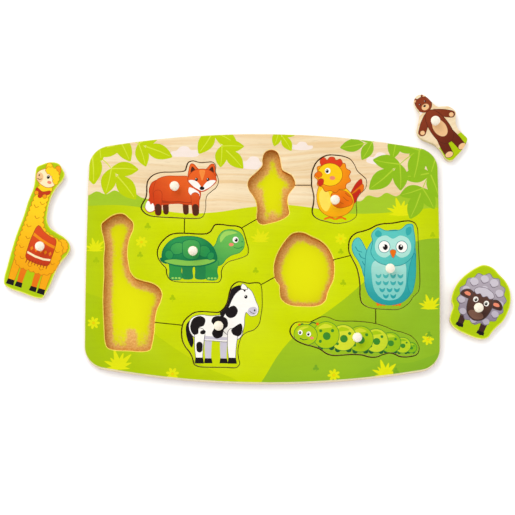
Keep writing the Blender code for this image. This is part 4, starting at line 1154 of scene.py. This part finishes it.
GRID = 0.5                # of the masks that the recess silhouettes are blurred on
FULL = dict(sheep=3.6)    # where the stencil follows the saw line, not the figure, and how far inside it
SLIPPED = (1.1, -1.0)     # how far the stencils lay out of place
masks = {}
for name in PIECES:
    low, high = walls[name].min(0) - 3.0, walls[name].max(0) + 3.0
    across, along = np.arange(low[0], high[0], GRID), np.arange(low[1], high[1], GRID)
    spots = np.stack(np.meshgrid(across, along, indexing="ij"), -1).reshape(-1, 2)
    covered = np.zeros(len(spots), bool)
    for _, shape in drawings[name].shapes:
        if area(shape) > 9.0:
            covered |= inside(spots, shape)
    if name in FULL:
        covered |= inside(spots, offset(lines[name], -FULL[name] - 0.5))
    covered &= inside(spots, offset(lines[name], -FULL.get(name, 4.6)))
    soft = np.exp(-(np.arange(-15, 16) * GRID / 2.3) ** 2 / 2)
    blurred = covered.reshape(len(across), len(along)).astype(float)
    for axis in (0, 1):
        blurred = np.apply_along_axis(np.convolve, axis, blurred, soft / soft.sum(), "same")
    masks[name] = (low, blurred)


def silhouettes(points):
    """How much ink each point of the recess floors took."""
    points = points - np.array(SLIPPED)
    out = np.zeros(len(points))
    for low, blurred in masks.values():
        at = (points - low) / GRID
        whole = np.floor(at).astype(int)
        fits = ((whole >= 0) & (whole < np.array(blurred.shape) - 1)).all(1)
        (u, v), (i, j) = (at[fits] - whole[fits]).T, whole[fits].T
        value = ((1 - u) * (1 - v) * blurred[i, j] + u * (1 - v) * blurred[i + 1, j] + (1 - u) * v * blurred[i, j + 1] + u * v * blurred[i + 1, j + 1])
        out[fits] = np.maximum(out[fits], value)
    return out


def painted_wall_shade(points):
    """How much painted shade each point of the recess floors takes, less with its distance from the walls."""
    out = np.zeros(len(points))
    for loop in walls.values():
        near = np.nonzero(((points > loop.min(0) - 2.0) & (points < loop.max(0) + 2.0)).all(1))[0]
        if len(near):
            out[near] = np.maximum(out[near], np.exp(-loop_distance(points[near], loop) / 3.4))
    return out


low, high = outline.min(0), outline.max(0)
spots = np.stack(np.meshgrid(np.arange(low[0], high[0], 1.25), np.arange(low[1], high[1], 1.25), indexing="ij"), -1).reshape(-1, 2)
wanted = np.zeros(len(spots), bool)
for name in PIECES:
    wanted |= inside(spots, offset(walls[name], 1.0))
# the recess floors get the ink of the silhouettes and a painted shade near the walls, as attributes
backing = sheet(outline, [], BACKING_TOP, [], "raw_board", "raw_edge", "raw_edge", 0.35, extra=spots[wanted]).finish(
    "backing_sheet", marks={"ink": silhouettes, "painted_shade": painted_wall_shade})
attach(backing, "board")
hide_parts("backing_board")

# recesses with seated pieces and the saw cuts take the darker wall, a painted seam shade; empty recesses take the sawn
# rim and recess wall
openings = [(walls[name], 0.10, None, "seam_wall") if spec["lies"] is None else (walls[name], 0.75, "sawn_rim", "recess_wall")
            for name, spec in PIECES.items()]
top_sheet = sheet(outline, openings + [(slit(a, b), 0.10, None, "seam_wall") for a, b in SAW_LINKS], FRAME_TOP - FRAME_LOW, meadow.shapes,
                  "wood", "frame_edge", "under_ply", 0.9, 0.0, inked=1).finish("printed_frame", z=FRAME_LOW)
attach(top_sheet, "board")
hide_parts("frame_board")

PEG_PROFILE = [(1.9, 0.02), (3.0, 0.02), (3.2, 0.18), (3.18, 0.5), (2.90, 1.15), (2.68, 1.9), (2.74, 2.7), (3.10, 3.55), (3.66, 4.25), (3.97, 4.75),
               (4.05, 5.2), (3.98, 5.75), (3.74, 6.35), (3.3, 6.95), (2.64, 7.45), (1.8, 7.8), (0.9, 7.96)]
crown = spline([(r, h) for r, h in PEG_PROFILE[2:]] + [(0.0, 8.0)], 3, closed=False)
profile = [(0.0, -4.0), (1.8, -4.0), (1.9, -3.85)] + PEG_PROFILE[:2] + [tuple(p) for p in crown[:-1]] + [(0.0, 8.0)]

for name, spec in PIECES.items():
    rim = offset(lines[name], spec["wall"] - SAW_CUT - 0.04)
    ground = meadow.shapes
    if spec["lies"] is not None:      # these carry a darker lime than the board, and the llama and sheep a band of bright lime 1 mm wide at their rims, a painted highlight of the rim
        ground = [("lime_piece" if colour in ("lime", "lime_low") else colour, shape) for colour, shape in ground]
    if name in ("llama", "sheep"):
        ground = ground + [("lime_rim", offset(rim, 1.0)), ("lime_piece", offset(rim, -1.0))]
    if spec["lies"] is None:
        x, y, turn, z = spec["peg"][0] + spec["slid"][0], spec["peg"][1] + spec["slid"][1], 0.0, SEATED_Z
        # seated pieces get the darker edge, a painted shade of the seam
        edge, rounding = "seated_edge", 0.12
    else:
        x, y, turn = spec["lies"]
        z, edge, rounding = 0.0, "ply_edge", 0.25
    solid = sheet(rim, [], SHEET, ground + drawings[name].shapes, "wood", edge, "under_ply", rounding, 0.2, spec["peg"])
    plate = solid.finish(name + "_plate", x, y, z, turn, spec["peg"])
    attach(plate, name)
    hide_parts(name + "_piece")
    knob = lathe(profile, 48, "peg_wood").finish(name + "_knob", x, y, z + SHEET, turn + 37.0 * len(name))
    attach(knob, name)
    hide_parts(name + "_peg")

# ---------------------------------------------------------------- floor, light, camera
floor_mesh = bpy.data.meshes.new("floor")
floor_mesh.from_pydata([(-3, -3, 0), (3, -3, 0), (3, 3, 0), (-3, 3, 0)], [], [(0, 1, 2, 3)])
floor = bpy.data.objects.new("floor", floor_mesh)
floor.location = (0.0, 0.0, -0.00004)
bpy.context.scene.collection.objects.link(floor)
floor_mat = bpy.data.materials.new("floor")
floor_mat.use_nodes = True
paper = floor_mat.node_tree.nodes["Principled BSDF"]
# painted contact shade: an ambient occlusion node darkens the floor's colour and tints it lilac near the board and
# pieces
contact_shade = node(floor_mat.node_tree, "ShaderNodeAmbientOcclusion", {"Distance": 0.0056}, samples=12).outputs["AO"]
floor_mat.node_tree.links.new(mixed(floor_mat.node_tree, stretch(floor_mat.node_tree, contact_shade, 0.48, 1.0, smooth=False), (0.64, 0.58, 0.59, 1.0),
                                    (0.93, 0.93, 0.94, 1.0)), paper.inputs["Base Color"])
paper.inputs["Roughness"].default_value = 0.8
paper.inputs["Specular IOR Level"].default_value = 0.1
paper.inputs["Emission Color"].default_value = (1.0, 1.0, 1.0, 1.0)
paper.inputs["Emission Strength"].default_value = 0.20
floor_mesh.materials.append(floor_mat)

sun = bpy.data.objects.new("window", bpy.data.lights.new("window", "SUN"))
sun.data.energy = 1.40
sun.data.angle = math.radians(52)
sun.data.color = (1.0, 0.985, 0.96)
sun.rotation_euler = Vector((0.64, -0.8, -1.0)).to_track_quat("-Z", "Y").to_euler()
bpy.context.scene.collection.objects.link(sun)

# bright walls all round and a dimmer ceiling, so that the print has little glare
world = bpy.data.worlds.new("studio")
world.use_nodes = True
studio = world.node_tree
backdrop = studio.nodes["Background"]
backdrop.inputs["Color"].default_value = (0.985, 0.99, 1.0, 1.0)
height = node(studio, "ShaderNodeSeparateXYZ", {0: node(studio, "ShaderNodeTexCoord").outputs["Generated"]}).outputs["Z"]
studio.links.new(stretch(studio, height, 0.62, 0.88, 1.56, 0.10), backdrop.inputs["Strength"])
bpy.context.scene.world = world

TILT, ROLL, REACH = math.radians(12.39), math.radians(0.39), 1.821
toward = Vector((0.0, -math.sin(TILT), math.cos(TILT)))
right = (-toward).cross(Vector((0.0, 1.0, 0.0))).normalized()
up = right.cross(-toward)
camera = bpy.data.objects.new("camera", bpy.data.cameras.new("camera"))
camera.data.sensor_width = 36.0
camera.data.lens = 149.59
camera.data.clip_end = 20.0
axes = Matrix((math.cos(ROLL) * right + math.sin(ROLL) * up, math.cos(ROLL) * up - math.sin(ROLL) * right, toward)).transposed()
camera.matrix_world = Matrix.Translation(Vector((-0.00455, 0.00125, 0.0)) + toward * REACH) @ axes.to_4x4()
bpy.context.scene.collection.objects.link(camera)
bpy.context.scene.camera = camera

bpy.context.scene.view_settings.view_transform = "Standard"
bpy.context.scene.view_settings.look = "None"
